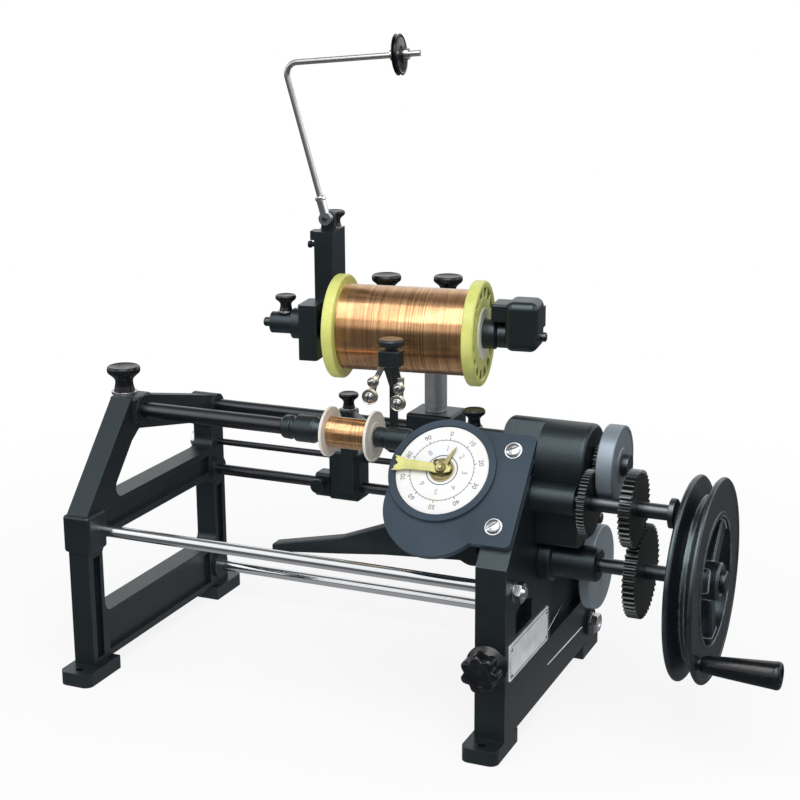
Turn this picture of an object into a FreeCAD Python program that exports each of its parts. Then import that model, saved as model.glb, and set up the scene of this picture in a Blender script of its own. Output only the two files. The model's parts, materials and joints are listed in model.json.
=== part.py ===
"""Hand-cranked wire coil winding machine, in millimetres.

Origin: on the bench, at the centre of the four foot bolt holes.
+X runs along the rods towards the crank handle, +Y away from the dial's side, +Z up.
"""
import FreeCAD, Part
import math
import os
import Sketcher

Vector = FreeCAD.Vector
Rotation = FreeCAD.Rotation

SIZES = {
    # end frames
    "foot_spacing": 366.6, "foot_hole_reach": 126.0, "foot_width": 30.0, "foot_outer_reach": 135.3,
    "foot_inner_reach": 86.0, "foot_thickness": 12.0, "foot_hole_radius": 3.5, "foot_corner": 7.0,
    "leg_reach": 116.5, "leg_depth": 20.4, "left_frame_width": 20.0, "right_frame_width": 25.0,
    "bottom_bar_low": 13.0, "bottom_bar_high": 55.0, "middle_bar_low": 122.0, "middle_bar_high": 150.0,
    "slant_tilt": 42.0, "slant_bar_width": 24.0, "top_bar_low": 176.0, "top_bar_rise": 26.0,
    "rear_top": 196.0, "window_corner": 9.0, "recess_depth": 4.0, "recess_rim": 5.5,
    "knuckle_low": 114.0, "knuckle_high": 147.0, "knuckle_depth": 28.0, "knuckle_overhang": 3.0,
    "right_frame_top": 212.0, "panel_depth": 8.0, "panel_low": 58.0, "panel_high": 186.0,
    "panel_rib": 12.0, "rear_slope": 60.0, "panel_step": 30.0, "rod_boss_radius": 12.0, "rod_boss_overhang": 3.0,
    # rods
    "rod_radius": 5.0, "carriage_rod_radius": 3.0, "upper_rod_radius": 6.0, "fit_gap": 0.05,
    "front_rod_y": -96.0, "front_rod_z": 129.6, "rear_rod_y": 100.0, "rear_rod_z": 31.0,
    "guide_rod_y": 103.0, "guide_rod_z": 127.0, "carriage_rod_y": 108.0, "carriage_rod_z": 153.0,
    "upper_rod_y": 104.0, "upper_rod_z": 190.0, "nut_across": 15.0, "nut_thickness": 7.0, "rod_stub": 9.0,
    # shafts and gears
    "spindle_y": -25.5, "spindle_z": 217.8, "crank_y": -29.1, "crank_z": 135.0, "shaft_radius": 6.0,
    "drive_module": 1.5, "crank_gear_teeth": 48, "layshaft_pinion_teeth": 38,
    "spindle_module": 1.0, "layshaft_wheel_teeth": 50, "spindle_pinion_teeth": 26,
    "pressure_angle": 20.0, "backlash": 0.25, "drive_gear_width": 9.0, "spindle_gear_width": 7.0,
    "drive_gear_start_past_face": 74.7, "spindle_gear_start_past_face": 41.2, "gear_gap": 0.6,
    "disc_radius": 31.0, "disc_thickness": 13.0, "layshaft_end_past_face": 113.2, "collar_radius": 11.5,
    "collar_length": 5.0, "traverse_y": 60.0, "traverse_z": 99.0, "traverse_disc_start_past_face": 12.7,
    "traverse_disc_radius": 36.0, "traverse_disc_thickness": 10.0,
    # spindle housing
    "housing_radius": 30.0, "housing_start_past_face": -31.3, "housing_end_past_face": 39.7, "nose_radius": 17.0,
    "nose_start_past_face": -98.3, "block_half_width": 24.0, "block_bottom": 152.0, "bearing_boss_radius": 12.0,
    "bearing_radius": 14.0, "bearing_end_past_face": 47.2, "bearing_flange_radius": 18.0, "bearing_flange": 11.0,
    # handwheel
    "wheel_start_past_face": 117.2, "wheel_width": 22.4, "wheel_radius": 80.0, "wheel_inner_radius": 50.0,
    "flange_width": 4.2, "groove_radius": 65.0, "hub_radius": 15.0, "hub_overhang": 4.0,
    "spoke_width": 17.0, "spoke_thickness": 11.0, "spoke_count": 3, "first_spoke": 165.0,
    "handle_throw": 67.0, "handle_angle": 228.4, "handle_length": 60.0, "handle_root_radius": 6.4,
    "handle_end_radius": 10.8, "pin_radius": 4.0, "pin_depth": 8.0, "pin_head": 4.0,
    # bobbin and tail
    "bobbin_offset": 70.7, "bobbin_spacing": 40.2, "bobbin_flange": 2.4, "bobbin_radius": 21.0,
    "bobbin_core_radius": 8.0, "bobbin_wound_radius": 13.0, "arbor_radius": 4.0, "chuck_radius": 9.5,
    "chuck_length": 44.0, "cup_radius": 11.5, "cup_length": 42.0, "quill_radius": 7.0,
    "tail_boss_radius": 13.0, "tail_boss_overhang": 4.0, "tail_block_top": 231.0, "tail_block_half": 14.0,
    "tail_knob_shift": 6.0, "stud_sink": 4.0, "stud_hole_depth": 8.0,
    "knob_radius": 14.5, "knob_neck_radius": 10.0, "knob_height": 25.0, "knob_washer": 2.5,
    # dial
    "plate_start_y": -124.5, "plate_start_z": 153.0, "plate_thickness": 6.0, "dial_past_face": -69.6, "dial_up": 78.0,
    "lobe_past_face": -66.6, "lobe_up": 50.4, "plate_radius": 44.2, "plate_right_past_face": -0.6, "plate_low": 21.6,
    "plate_high": 116.6, "bezel_inner_radius": 38.3, "bezel_height": 3.0, "face_radius": 37.8,
    "face_thickness": 1.6, "screw_past_face": -16.8, "screw_high": 102.0, "screw_low": 37.0, "screw_head_radius": 7.0,
    "screw_head_height": 3.6, "screw_crown": 2.2, "screw_shank_radius": 2.6, "hand_thickness": 1.2, "long_hand_reach": 35.0, "short_hand_reach": 17.0,
    "hand_pin_radius": 1.6,
    # nameplate, star knob and lever
    "nameplate_inset": 6.5, "nameplate_length": 92.0, "nameplate_low": 60.0, "nameplate_height": 30.0,
    "nameplate_thickness": 1.2, "star_past_face": -14.3, "star_z": 75.0, "star_radius": 11.0, "star_lobe_radius": 4.6,
    "star_lobes": 7, "star_thickness": 14.0, "star_collar_radius": 17.0, "star_collar": 8.0,
    "lever_y": -76.0, "lever_thickness": 12.0, "lever_reach": 176.5, "lever_tip_z": 128.0, "lever_tip_half": 3.5, "lever_waist": 114.5, "lever_elbow": 76.5,
    "lever_shoulder": 48.5, "lever_waist_depth": 14.0, "lever_elbow_rise": 31.0, "lever_shoulder_rise": 42.0,
    
    "lever_pivot_past_face": -43.3, "lever_pivot_z": 153.0, "lever_boss_radius": 16.0, "lever_pin_radius": 5.0,
    # guide carriage and guide head
    "carriage_offset": 94.0, "carriage_length": 30.0, "carriage_front": 12.0, "carriage_back": 8.0,
    "carriage_below": 11.0, "carriage_above": 9.0, "column_inset": 8.0, "column_forward": 13.0,
    "column_half": 6.0, "arm_clearance": 1.0, "guide_eye_radius": 9.0, "guide_arm_width": 8.0,
    "guide_arm_thickness": 7.0, "guide_knee_y": 4.0, "guide_knee_z": 240.0, "guide_head_offset": 29.7,
    "guide_head_y": -12.0, "guide_head_low": 275.0, "guide_head_high": 289.0, "wheel_spread": 25.0,
    "guide_wheel_radius": 6.5, "guide_wheel_width": 4.0, "small_wheel_radius": 4.5,
    "guide_wheel_z": 249.5, "guide_wheel_shift": 3.5, "right_wheel_drop": 3.0, "small_wheel_rise": 12.5,
    "left_small_shift": 3.0, "right_small_shift": 1.0, "guide_fork_thickness": 2.5, "clamp_offset": 22.1, "clamp_width": 14.0,
    # supply spool and its stand
    "post_x": 50.3, "post_y": 106.0, "post_radius": 10.0, "post_overhang": 8.0, "base_width": 44.0,
    "base_front": 88.0, "base_back": 126.0, "base_low": 174.0, "base_high": 207.0, "stand_yaw": 7.5,
    "spool_shift": -7.7, "spool_reach": 58.6, "spool_z": 293.0, "spool_length": 130.4,
    "spool_flange": 10.0, "spool_radius": 44.6, "spool_wound_radius": 36.5, "spool_core_radius": 22.0,
    "spool_bore_radius": 12.0, "spool_web": 3.0, "spool_rim": 6.0, "spool_shaft_radius": 4.0,
    "spool_shaft_length": 249.0, "spool_shaft_middle": -14.0, "cone_radius": 12.5, "cone_length": 12.0,
    "beam_drop": 5.0, "beam_height": 18.0, "beam_depth": 16.0, "beam_sleeve_radius": 17.0,
    "beam_left_knob": -45.0, "beam_lug_x": 4.0, "beam_lug_y": 28.0, "beam_lug_width": 24.0,
    "beam_lug_step": 4.0, "bracket_right": -86.0, "bracket_width": 17.0, "bracket_front": -74.0,
    "bracket_middle": -41.0, "bracket_drop": 29.0, "bracket_rise": 19.0, "mast_right": -80.0,
    "mast_front": -45.0, "mast_drop": 13.0, "mast_rise": 78.0, "arm_screw_inset": 24.6,
    "arm_screw_shift": 3.0, "block_width": 28.0,
    "block_height": 42.0, "block_depth": 34.0, "snout_radius": 11.0, "snout_length": 7.0,
    "holder_radius": 9.3, "holder_length": 25.0, "arm_radius": 2.5, "arm_height": 135.2, "arm_reach": 102.0,
    "arm_bend": 10.0, "arm_tilt": 15.2, "arm_dip": 10.6, "arm_tip": 18.0, "arm_foot_x": -87.0,
    "arm_foot_y": -40.0, "arm_lift": 11.0, "pulley_radius": 17.5, "pulley_width": 8.0,
    "arm_barrel_radius": 5.5, "arm_barrel_length": 8.0, "arm_pin_radius": 2.0,
}


class Size:
    """A number together with the spreadsheet expression that gives it."""

    def __init__(self, number, text):
        self.number = float(number)
        self.text = text

    def __add__(self, other):
        other = as_size(other)
        return Size(self.number + other.number, f"({self.text} + {other.text})")

    def __sub__(self, other):
        other = as_size(other)
        return Size(self.number - other.number, f"({self.text} - {other.text})")

    def __mul__(self, other):
        other = as_size(other)
        return Size(self.number * other.number, f"({self.text} * {other.text})")

    def __truediv__(self, other):
        other = as_size(other)
        return Size(self.number / other.number, f"({self.text} / {other.text})")

    def __radd__(self, other):
        return as_size(other) + self

    def __rsub__(self, other):
        return as_size(other) - self

    def __rmul__(self, other):
        return as_size(other) * self

    def __neg__(self):
        return Size(-self.number, f"(-1 * {self.text})")

    def __float__(self):
        return self.number


def as_size(item):
    """Give a plain number the same form as a size from the sheet."""
    return item if isinstance(item, Size) else Size(item, repr(float(item)))


def root(item):
    return Size(math.sqrt(item.number), f"sqrt({item.text})")


def cosine(item):
    item = as_size(item)
    return Size(math.cos(math.radians(item.number)), f"cos({item.text})")


def sine(item):
    item = as_size(item)
    return Size(math.sin(math.radians(item.number)), f"sin({item.text})")


doc = FreeCAD.newDocument("CoilWinder")
sheet = doc.addObject("Spreadsheet::Sheet", "Sizes")


class Driving:
    """The driving sizes, each under its own name."""


def load_sizes():
    """Write the sizes to the sheet and hand them back by name."""
    found = Driving()
    for row, (alias, value) in enumerate(SIZES.items(), 1):
        sheet.set(f"A{row}", alias)
        sheet.set(f"B{row}", str(value))
        sheet.setAlias(f"B{row}", alias)
        setattr(found, alias, Size(value, f"Sizes.{alias}"))
    doc.recompute()
    return found


S = load_sizes()
NODES = []

TURN_Z_TO = {
    "Z": Rotation(), "-Z": Rotation(Vector(1, 0, 0), 180),
    "X": Rotation(Vector(0, 1, 0), 90), "-X": Rotation(Vector(0, 1, 0), -90),
    "Y": Rotation(Vector(1, 0, 0), -90), "-Y": Rotation(Vector(1, 0, 0), 90),
}
TURN_X_TO = {
    "X": Rotation(), "-X": Rotation(Vector(0, 0, 1), 180),
    "Y": Rotation(Vector(0, 0, 1), 90), "-Y": Rotation(Vector(0, 0, 1), -90),
    "Z": Rotation(Vector(0, 1, 0), -90), "-Z": Rotation(Vector(0, 1, 0), 90),
}


def bind(target, prop, size):
    """Tie one property of an object to its expression."""
    target.setExpression(prop, as_size(size).text)


def place(target, x, y, z, rotation=None):
    """Place an object, with each coordinate tied to the sheet."""
    numbers = [as_size(c) for c in (x, y, z)]
    target.Placement = FreeCAD.Placement(Vector(*(c.number for c in numbers)), rotation or Rotation())
    for axis, size in zip("xyz", numbers):
        bind(target, f"Placement.Base.{axis}", size)
    return target


def cylinder(name, radius, length, at, along="Z"):
    rod = doc.addObject("Part::Cylinder", name)
    bind(rod, "Radius", radius)
    bind(rod, "Height", length)
    return place(rod, *at, TURN_Z_TO[along])


def block(name, x_span, y_span, z_span):
    """A box between two limits along each axis."""
    brick = doc.addObject("Part::Box", name)
    for prop, (low, high) in zip(("Length", "Width", "Height"), (x_span, y_span, z_span)):
        bind(brick, prop, as_size(high) - low)
    return place(brick, x_span[0], y_span[0], z_span[0])


def fuse(name, *pieces):
    joined = doc.addObject("Part::MultiFuse", name)
    joined.Shapes = list(pieces)
    joined.Refine = True
    return joined


def cut(name, base, *tools):
    result = doc.addObject("Part::Cut", name)
    result.Base = base
    result.Tool = tools[0] if len(tools) == 1 else fuse(f"{name}_tools", *tools)
    result.Refine = True
    return result


def group(name, *pieces):
    """Several separate solids in one object."""
    bunch = doc.addObject("Part::Compound", name)
    bunch.Links = list(pieces)
    return bunch


def node(piece, label):
    """Register a finished sub-part under its own label."""
    piece.Label = label
    NODES.append(piece)
    return piece


def origin_plane(body, role):
    return next(item for item in body.Origin.OriginFeatures if item.Role == role)


def sketch_loops(body, role, loops):
    """A sketch of closed straight-sided loops whose corners are tied to the sheet."""
    sketch = body.newObject("Sketcher::SketchObject", f"{body.Name}_sketch")
    sketch.AttachmentSupport = (origin_plane(body, role), [""])
    sketch.MapMode = "FlatFace"
    for loop in loops:
        corners = [(as_size(across), as_size(up)) for across, up in loop]
        first = sketch.GeometryCount
        count = len(corners)
        for index, (across, up) in enumerate(corners):
            after = corners[(index + 1) % count]
            start = Vector(across.number, up.number, 0)
            sketch.addGeometry(Part.LineSegment(start, Vector(after[0].number, after[1].number, 0)))
        for index, (across, up) in enumerate(corners):
            line = first + index
            following = first + (index + 1) % count
            sketch.addConstraint(Sketcher.Constraint("Coincident", line, 2, following, 1))
            for kind, size, axis in (("DistanceX", across, -2), ("DistanceY", up, -1)):
                if size.number == 0:
                    sketch.addConstraint(Sketcher.Constraint("PointOnObject", line, 1, axis))
                    continue
                tie = sketch.addConstraint(Sketcher.Constraint(kind, -1, 1, line, 1, size.number))
                sketch.setExpression(f"Constraints[{tie}]", size.text)
    return sketch


def slab(name, role, loops, thickness, at=(0, 0, 0), rotation=None):
    """A plate of even thickness with straight-sided loops as its outline and windows."""
    body = doc.addObject("PartDesign::Body", name)
    pad = body.newObject("PartDesign::Pad", f"{name}_pad")
    pad.Profile = sketch_loops(body, role, loops)
    bind(pad, "Length", thickness)
    body.Tip = pad
    return place(body, *at, rotation)


def turned(name, profile, at, along="X"):
    """A lathe-turned piece. The profile lists (distance along the axis, radius) pairs."""
    body = doc.addObject("PartDesign::Body", name)
    sketch = sketch_loops(body, "XY_Plane", [profile])
    spin = body.newObject("PartDesign::Revolution", f"{name}_turn")
    spin.Profile = sketch
    spin.ReferenceAxis = (sketch, ["H_Axis"])
    spin.Angle = 360
    body.Tip = spin
    return place(body, *at, TURN_X_TO[along])


def rounded(name, base, radius, wanted):
    """Round the edges that the wanted function picks."""
    doc.recompute()
    fillet = doc.addObject("Part::Fillet", name)
    fillet.Base = base
    size = as_size(radius).number
    fillet.Edges = [(i, size, size) for i, edge in enumerate(base.Shape.Edges, 1) if wanted(edge)]
    return fillet


def runs_along(edge, axis):
    """True for a straight edge parallel to a unit axis."""
    if edge.Curve.TypeId != "Part::GeomLine":
        return False
    return abs(abs(edge.tangentAt(edge.FirstParameter).dot(axis)) - 1) < 1e-6


def near_corner(edge, corners):
    """True for an edge along X that stands on one of the (y, z) corners."""
    middle = edge.CenterOfMass
    return runs_along(edge, Vector(1, 0, 0)) and any(
        abs(middle.y - float(y)) < 0.01 and abs(middle.z - float(z)) < 0.01 for y, z in corners)


# Places that several pieces share

left_inner = -(S.foot_spacing / 2) + S.left_frame_width / 2 - 0.7
left_outer = left_inner - S.left_frame_width
right_outer = S.foot_spacing / 2 + S.foot_width / 2
right_inner = right_outer - S.right_frame_width
leg_inner = S.leg_reach - S.leg_depth
slant_cos = cosine(S.slant_tilt)
slant_sin = sine(S.slant_tilt)
plate_back_y = S.plate_start_y + S.plate_thickness * slant_cos
plate_back_z = S.plate_start_z - S.plate_thickness * slant_sin
knee_z = plate_back_z + (-S.leg_reach - plate_back_y) * slant_cos / slant_sin
left_knee_z = S.knuckle_high

drive_distance = S.drive_module * (S.crank_gear_teeth + S.layshaft_pinion_teeth) / 2
spindle_distance = S.spindle_module * (S.layshaft_wheel_teeth + S.spindle_pinion_teeth) / 2
axis_dy = S.crank_y - S.spindle_y
axis_dz = S.crank_z - S.spindle_z
axis_distance = root(axis_dy * axis_dy + axis_dz * axis_dz)
along_axes = (spindle_distance * spindle_distance - drive_distance * drive_distance
              + axis_distance * axis_distance) / (2 * axis_distance)
beside_axes = root(spindle_distance * spindle_distance - along_axes * along_axes)
layshaft_y = S.spindle_y + (along_axes * axis_dy + beside_axes * axis_dz) / axis_distance
layshaft_z = S.spindle_z + (along_axes * axis_dz - beside_axes * axis_dy) / axis_distance

beam_low = S.spool_z - S.beam_drop
beam_high = beam_low + S.beam_height
beam_lug_high = beam_high - S.beam_lug_step
mast_top = S.spool_z + S.mast_rise

# Places along X that are measured from the right frame's outer face

housing_start = right_outer + S.housing_start_past_face
housing_end = right_outer + S.housing_end_past_face
drive_gear_start = right_outer + S.drive_gear_start_past_face
spindle_gear_start = right_outer + S.spindle_gear_start_past_face
layshaft_end = right_outer + S.layshaft_end_past_face
traverse_disc_start = right_outer + S.traverse_disc_start_past_face
bearing_end = right_outer + S.bearing_end_past_face
wheel_start = right_outer + S.wheel_start_past_face
dial_x = right_outer + S.dial_past_face
lobe_x = right_outer + S.lobe_past_face
plate_right = right_outer + S.plate_right_past_face
screw_x = right_outer + S.screw_past_face
star_x = right_outer + S.star_past_face
lever_pivot_x = right_outer + S.lever_pivot_past_face
nose_start = right_outer + S.nose_start_past_face
bobbin_middle = nose_start - S.bobbin_offset
guide_head_x = bobbin_middle + S.guide_head_offset
carriage_x = guide_head_x - S.carriage_offset
clamp_x = carriage_x - S.clamp_offset
lever_tip_x = lever_pivot_x - S.lever_reach

RODS = {
    "front_tie_rod": (S.front_rod_y, S.front_rod_z, S.rod_radius),
    "rear_tie_rod": (S.rear_rod_y, S.rear_rod_z, S.rod_radius),
    "guide_rod": (S.guide_rod_y, S.guide_rod_z, S.rod_radius),
    "carriage_rod": (S.carriage_rod_y, S.carriage_rod_z, S.carriage_rod_radius),
    "upper_rear_rod": (S.upper_rod_y, S.upper_rod_z, S.upper_rod_radius),
}


def rod_bores(name, low, high):
    """Drills for all the rods through one end frame."""
    return [cylinder(f"{name}_{rod}_bore", radius + S.fit_gap, high - low + 40, (low - 20, y, z), "X")
            for rod, (y, z, radius) in RODS.items()]


def foot(name, side_x, front):
    """One foot plate with rounded outer corners and its bolt hole."""
    low = side_x - S.foot_width / 2
    high = side_x + S.foot_width / 2
    if front:
        span = (-S.foot_outer_reach, -S.foot_inner_reach)
        hole_y = -S.foot_hole_reach
        outer_y = -float(S.foot_outer_reach)
    else:
        span = (S.foot_inner_reach, S.foot_outer_reach)
        hole_y = S.foot_hole_reach
        outer_y = float(S.foot_outer_reach)
    pad = block(f"{name}_pad", (low, high), span, (0, S.foot_thickness))
    soft = rounded(f"{name}_soft", pad, S.foot_corner, lambda edge: runs_along(edge, Vector(0, 0, 1))
                   and abs(edge.CenterOfMass.y - outer_y) < 0.01)
    hole = cylinder(f"{name}_hole", S.foot_hole_radius, S.foot_thickness + 4, (side_x, hole_y, -2), "Z")
    return soft, hole


def frame_outline(knee, top_points):
    """The outer loop of an end frame seen from the side, front leg on the left."""
    return [
        (-S.leg_reach, 0), (-leg_inner, 0), (-leg_inner, S.bottom_bar_low), (leg_inner, S.bottom_bar_low),
        (leg_inner, 0), (S.leg_reach, 0), (S.leg_reach, S.rear_top), *top_points, (-S.leg_reach, knee),
    ]


def build_left_frame():
    """Open casting with an upper and a lower window, a front knuckle and the tail boss."""
    rise = S.tail_block_top - left_knee_z
    slant_top_y = -S.leg_reach + rise * slant_sin / slant_cos
    rear_of_boss = S.spindle_y + S.tail_block_half
    outer = frame_outline(left_knee_z, [(rear_of_boss, S.tail_block_top - 3), (slant_top_y, S.tail_block_top)])
    lower = [(-leg_inner, S.bottom_bar_high), (leg_inner, S.bottom_bar_high),
             (leg_inner, S.middle_bar_low), (-leg_inner + 8, S.middle_bar_low),
             (-leg_inner, S.knuckle_low - 4)]
    inner_shift = S.slant_bar_width / slant_cos
    window_top = S.top_bar_low + S.top_bar_rise
    slant_at_bottom = -S.leg_reach + inner_shift + (S.middle_bar_high - left_knee_z) * slant_sin / slant_cos
    slant_at_top = -S.leg_reach + inner_shift + (window_top - 8 - left_knee_z) * slant_sin / slant_cos
    upper = [(slant_at_bottom, S.middle_bar_high), (leg_inner, S.middle_bar_high), (leg_inner, S.top_bar_low),
             (slant_at_top + 12, window_top), (slant_at_top, window_top - 8)]
    plate = slab("left_casting", "YZ_Plane", [outer, lower, upper], S.left_frame_width, (left_outer, 0, 0))
    soft = rounded("left_casting_soft", plate, S.window_corner,
                   lambda edge: near_corner(edge, [lower[0], lower[1], lower[2], upper[0], upper[1], upper[2]]))
    rim = S.recess_rim
    pockets = [
        [(-S.leg_reach + rim, S.foot_thickness + rim), (-leg_inner - rim + 1, S.foot_thickness + rim),
         (-leg_inner - rim + 1, S.knuckle_low - rim), (-S.leg_reach + rim, S.knuckle_low - rim)],
        [(leg_inner + rim - 1, S.rear_rod_z + S.rod_boss_radius + 3), (S.leg_reach - rim, S.rear_rod_z + 15),
         (S.leg_reach - rim, S.guide_rod_z - 16), (leg_inner + rim - 1, S.guide_rod_z - 16)],
        [(-leg_inner + 4, S.bottom_bar_low + rim), (leg_inner - 12, S.bottom_bar_low + rim),
         (leg_inner - 12, S.bottom_bar_high - rim), (-leg_inner + 4, S.bottom_bar_high - rim)],
        [(slant_at_bottom - 14, S.middle_bar_low + rim), (leg_inner - 8, S.middle_bar_low + rim),
         (leg_inner - 8, S.middle_bar_high - rim), (slant_at_bottom - 4, S.middle_bar_high - rim)],
    ]
    recess = [
        slab(f"left_recess_{side}", "YZ_Plane", pockets, S.recess_depth + 1, (start, 0, 0))
        for side, start in (("outer", left_outer - 1), ("inner", left_inner - S.recess_depth))
    ]
    lightened = cut("left_lightened", soft, *recess)
    over = S.knuckle_overhang
    knuckle = block("left_knuckle", (left_outer - over, left_inner + over),
                    (-S.leg_reach - over, -S.leg_reach - over + S.knuckle_depth), (S.knuckle_low, S.knuckle_high))
    knuckle_soft = rounded("left_knuckle_soft", knuckle, 3, lambda edge: True)
    tail_block = block("tail_block", (left_outer - over, left_inner + over),
                       (S.spindle_y - S.tail_block_half, S.spindle_y + S.tail_block_half),
                       (S.spindle_z - 10, S.tail_block_top))
    tail_soft = rounded("tail_block_soft", tail_block, 2.5, lambda edge: True)
    boss_over = S.tail_boss_overhang
    tail_boss = cylinder("tail_boss", S.tail_boss_radius, S.left_frame_width + 2 * boss_over,
                         (left_outer - boss_over, S.spindle_y, S.spindle_z), "X")
    bosses = [cylinder(f"left_boss_{rod}", S.rod_boss_radius - trim, S.left_frame_width + 2 * S.rod_boss_overhang,
                       (left_outer - S.rod_boss_overhang, y, z), "X")
              for rod, (y, z, trim) in {"rear": (S.rear_rod_y, S.rear_rod_z, 0),
                                        "guide": (S.guide_rod_y, S.guide_rod_z, 0),
                                        "upper": (S.upper_rod_y, S.upper_rod_z, 1)}.items()]
    feet = [foot(f"left_foot_{end}", -(S.foot_spacing / 2), end == "front") for end in ("front", "rear")]
    solid = fuse("left_solid", lightened, knuckle_soft, tail_soft, tail_boss, *bosses, *(pad for pad, _ in feet))
    quill_bore = cylinder("quill_bore", S.quill_radius + S.fit_gap, S.left_frame_width + 40,
                          (left_outer - 20, S.spindle_y, S.spindle_z), "X")
    stud_bore = cylinder("tail_stud_bore", S.pin_radius + S.fit_gap, 30,
                         (tail_knob_x(), S.spindle_y, S.spindle_z + 2), "Z")
    drilled = cut("left_end_frame", solid, quill_bore, stud_bore, *rod_bores("left", left_outer, left_inner),
                  *(hole for _, hole in feet))
    return node(drilled, "left_end_frame")


def tail_knob_x():
    return (left_outer + left_inner) / 2 - S.tail_knob_shift


def build_right_frame():
    """Panelled casting that carries the head, the dial plate and the crank bearing."""
    rise = S.right_frame_top - knee_z
    slant_top_y = -S.leg_reach + rise * slant_sin / slant_cos
    outer = frame_outline(knee_z, [(S.leg_reach - S.rear_slope, S.right_frame_top), (slant_top_y, S.right_frame_top)])
    plate = slab("right_casting", "YZ_Plane", [outer], S.right_frame_width, (right_inner, 0, 0))
    rib = S.panel_rib
    lower_panel = [(-8, S.panel_low), (leg_inner - 14, S.panel_low), (leg_inner - 14, S.panel_low + 26),
                   (30, S.panel_low + 58), (12, S.panel_low + 58), (-8, S.panel_low + 34)]
    upper_panel = [(leg_inner - 14, S.panel_low + 26 + rib), (leg_inner - 14, S.panel_high), (20, S.panel_high),
                   (2, S.panel_high - S.panel_step), (8, S.panel_low + 58 + rib), (36, S.panel_low + 58 + rib)]
    front_panel = [(-leg_inner + 2, S.nameplate_low + S.nameplate_height + 3), (-56, 93), (-56, 110),
                   (-76, 116), (-leg_inner + 2, 112)]
    inner_panel = [(-leg_inner, S.panel_low), (leg_inner - 10, S.panel_low), (leg_inner - 10, S.panel_high - 20),
                   (-50, S.panel_high - 20), (-leg_inner, 150)]
    outside = slab("right_recess_outer", "YZ_Plane", [lower_panel, upper_panel, front_panel],
                   S.panel_depth + 1, (right_outer - S.panel_depth, 0, 0))
    inside = slab("right_recess_inner", "YZ_Plane", [inner_panel], S.panel_depth + 1, (right_inner - 1, 0, 0))
    over = S.knuckle_overhang
    lightened = cut("right_lightened", plate, outside, inside)
    bosses = [cylinder(f"right_boss_{rod}", S.rod_boss_radius - trim, S.right_frame_width + over,
                       (right_inner - over, y, z), "X")
              for rod, (y, z, trim) in {"front": (S.front_rod_y, S.front_rod_z, 0),
                                        "rear": (S.rear_rod_y, S.rear_rod_z, 0),
                                        "guide": (S.guide_rod_y, S.guide_rod_z, 0),
                                        "upper": (S.upper_rod_y, S.upper_rod_z, 1)}.items()]
    rear_boss = cylinder("right_rear_boss", S.rod_boss_radius, S.right_frame_width + 2 * over,
                         (right_inner - over, S.rear_rod_y, S.rear_rod_z), "X")
    lug = block("lever_lug", (lever_pivot_x - 12, right_inner + 2), (S.lever_y + S.lever_thickness + 0.5, -50),
                (S.lever_pivot_z - 12, S.lever_pivot_z + 12))
    lug_soft = rounded("lever_lug_soft", lug, 4, lambda edge: runs_along(edge, Vector(0, 1, 0)))
    lever_pin = cylinder("lever_pin", S.lever_pin_radius, S.lever_thickness + 14,
                         (lever_pivot_x, S.lever_y - 3, S.lever_pivot_z), "Y")
    feet = [foot(f"right_foot_{end}", S.foot_spacing / 2, end == "front") for end in ("front", "rear")]
    solid = fuse("right_solid", lightened, *bosses, rear_boss, lug_soft, lever_pin, *(pad for pad, _ in feet))
    seat = cylinder("housing_seat", S.housing_radius + S.fit_gap, S.right_frame_width + 20,
                    (right_inner - 10, S.spindle_y, S.spindle_z), "X")
    crank_hole = cylinder("crank_hole", S.bearing_radius + S.fit_gap, S.right_frame_width + 20,
                          (right_inner - 10, S.crank_y, S.crank_z), "X")
    traverse_hole = cylinder("traverse_hole", S.shaft_radius + S.fit_gap, S.right_frame_width + 20,
                             (right_inner - 10, S.traverse_y, S.traverse_z), "X")
    star_hole = cylinder("star_hole", S.pin_radius + S.fit_gap, 30, (star_x, -S.leg_reach - 5, S.star_z), "Y")
    drilled = cut("right_end_frame", solid, seat, crank_hole, traverse_hole, star_hole,
                  *rod_bores("right", right_inner, right_outer), *(hole for _, hole in feet))
    return node(drilled, "right_end_frame")


def build_rods():
    """The five rods that tie the end frames together."""
    for rod, (y, z, radius) in RODS.items():
        low = left_outer - S.rod_stub
        high = right_outer + S.rod_stub
        bar = cylinder(f"{rod}_bar", radius, high - low, (low, y, z), "X")
        node(bar, rod)


def hex_nut(name, radius, start, y, z):
    """A hexagon nut with a through bore, its axis along X."""
    prism = doc.addObject("Part::Prism", f"{name}_hex")
    prism.Polygon = 6
    bind(prism, "Circumradius", S.nut_across / math.sqrt(3))
    bind(prism, "Height", S.nut_thickness)
    place(prism, start, y, z, TURN_Z_TO["X"])
    bore = cylinder(f"{name}_bore", radius + S.fit_gap, S.nut_thickness + 2, (start - 1, y, z), "X")
    return cut(name, prism, bore)


def build_rod_nuts():
    """Nuts on the outer ends of the rods, on both end frames."""
    nuts = []
    left_faces = {"front_tie_rod": S.knuckle_overhang}
    right_faces = {"guide_rod": 0, "upper_rear_rod": 0, "carriage_rod": 0, "front_tie_rod": 0}
    for rod, (y, z, radius) in RODS.items():
        plain = 0 if rod == "carriage_rod" else S.rod_boss_overhang
        left_over = left_faces.get(rod, plain)
        right_over = right_faces.get(rod, S.rod_boss_overhang)
        nuts.append(hex_nut(f"{rod}_left_nut", radius, left_outer - left_over - S.nut_thickness, y, z))
        nuts.append(hex_nut(f"{rod}_right_nut", radius, right_outer + right_over, y, z))
    node(group("rod_nut_set", *nuts), "tie_rod_nuts")


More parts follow.
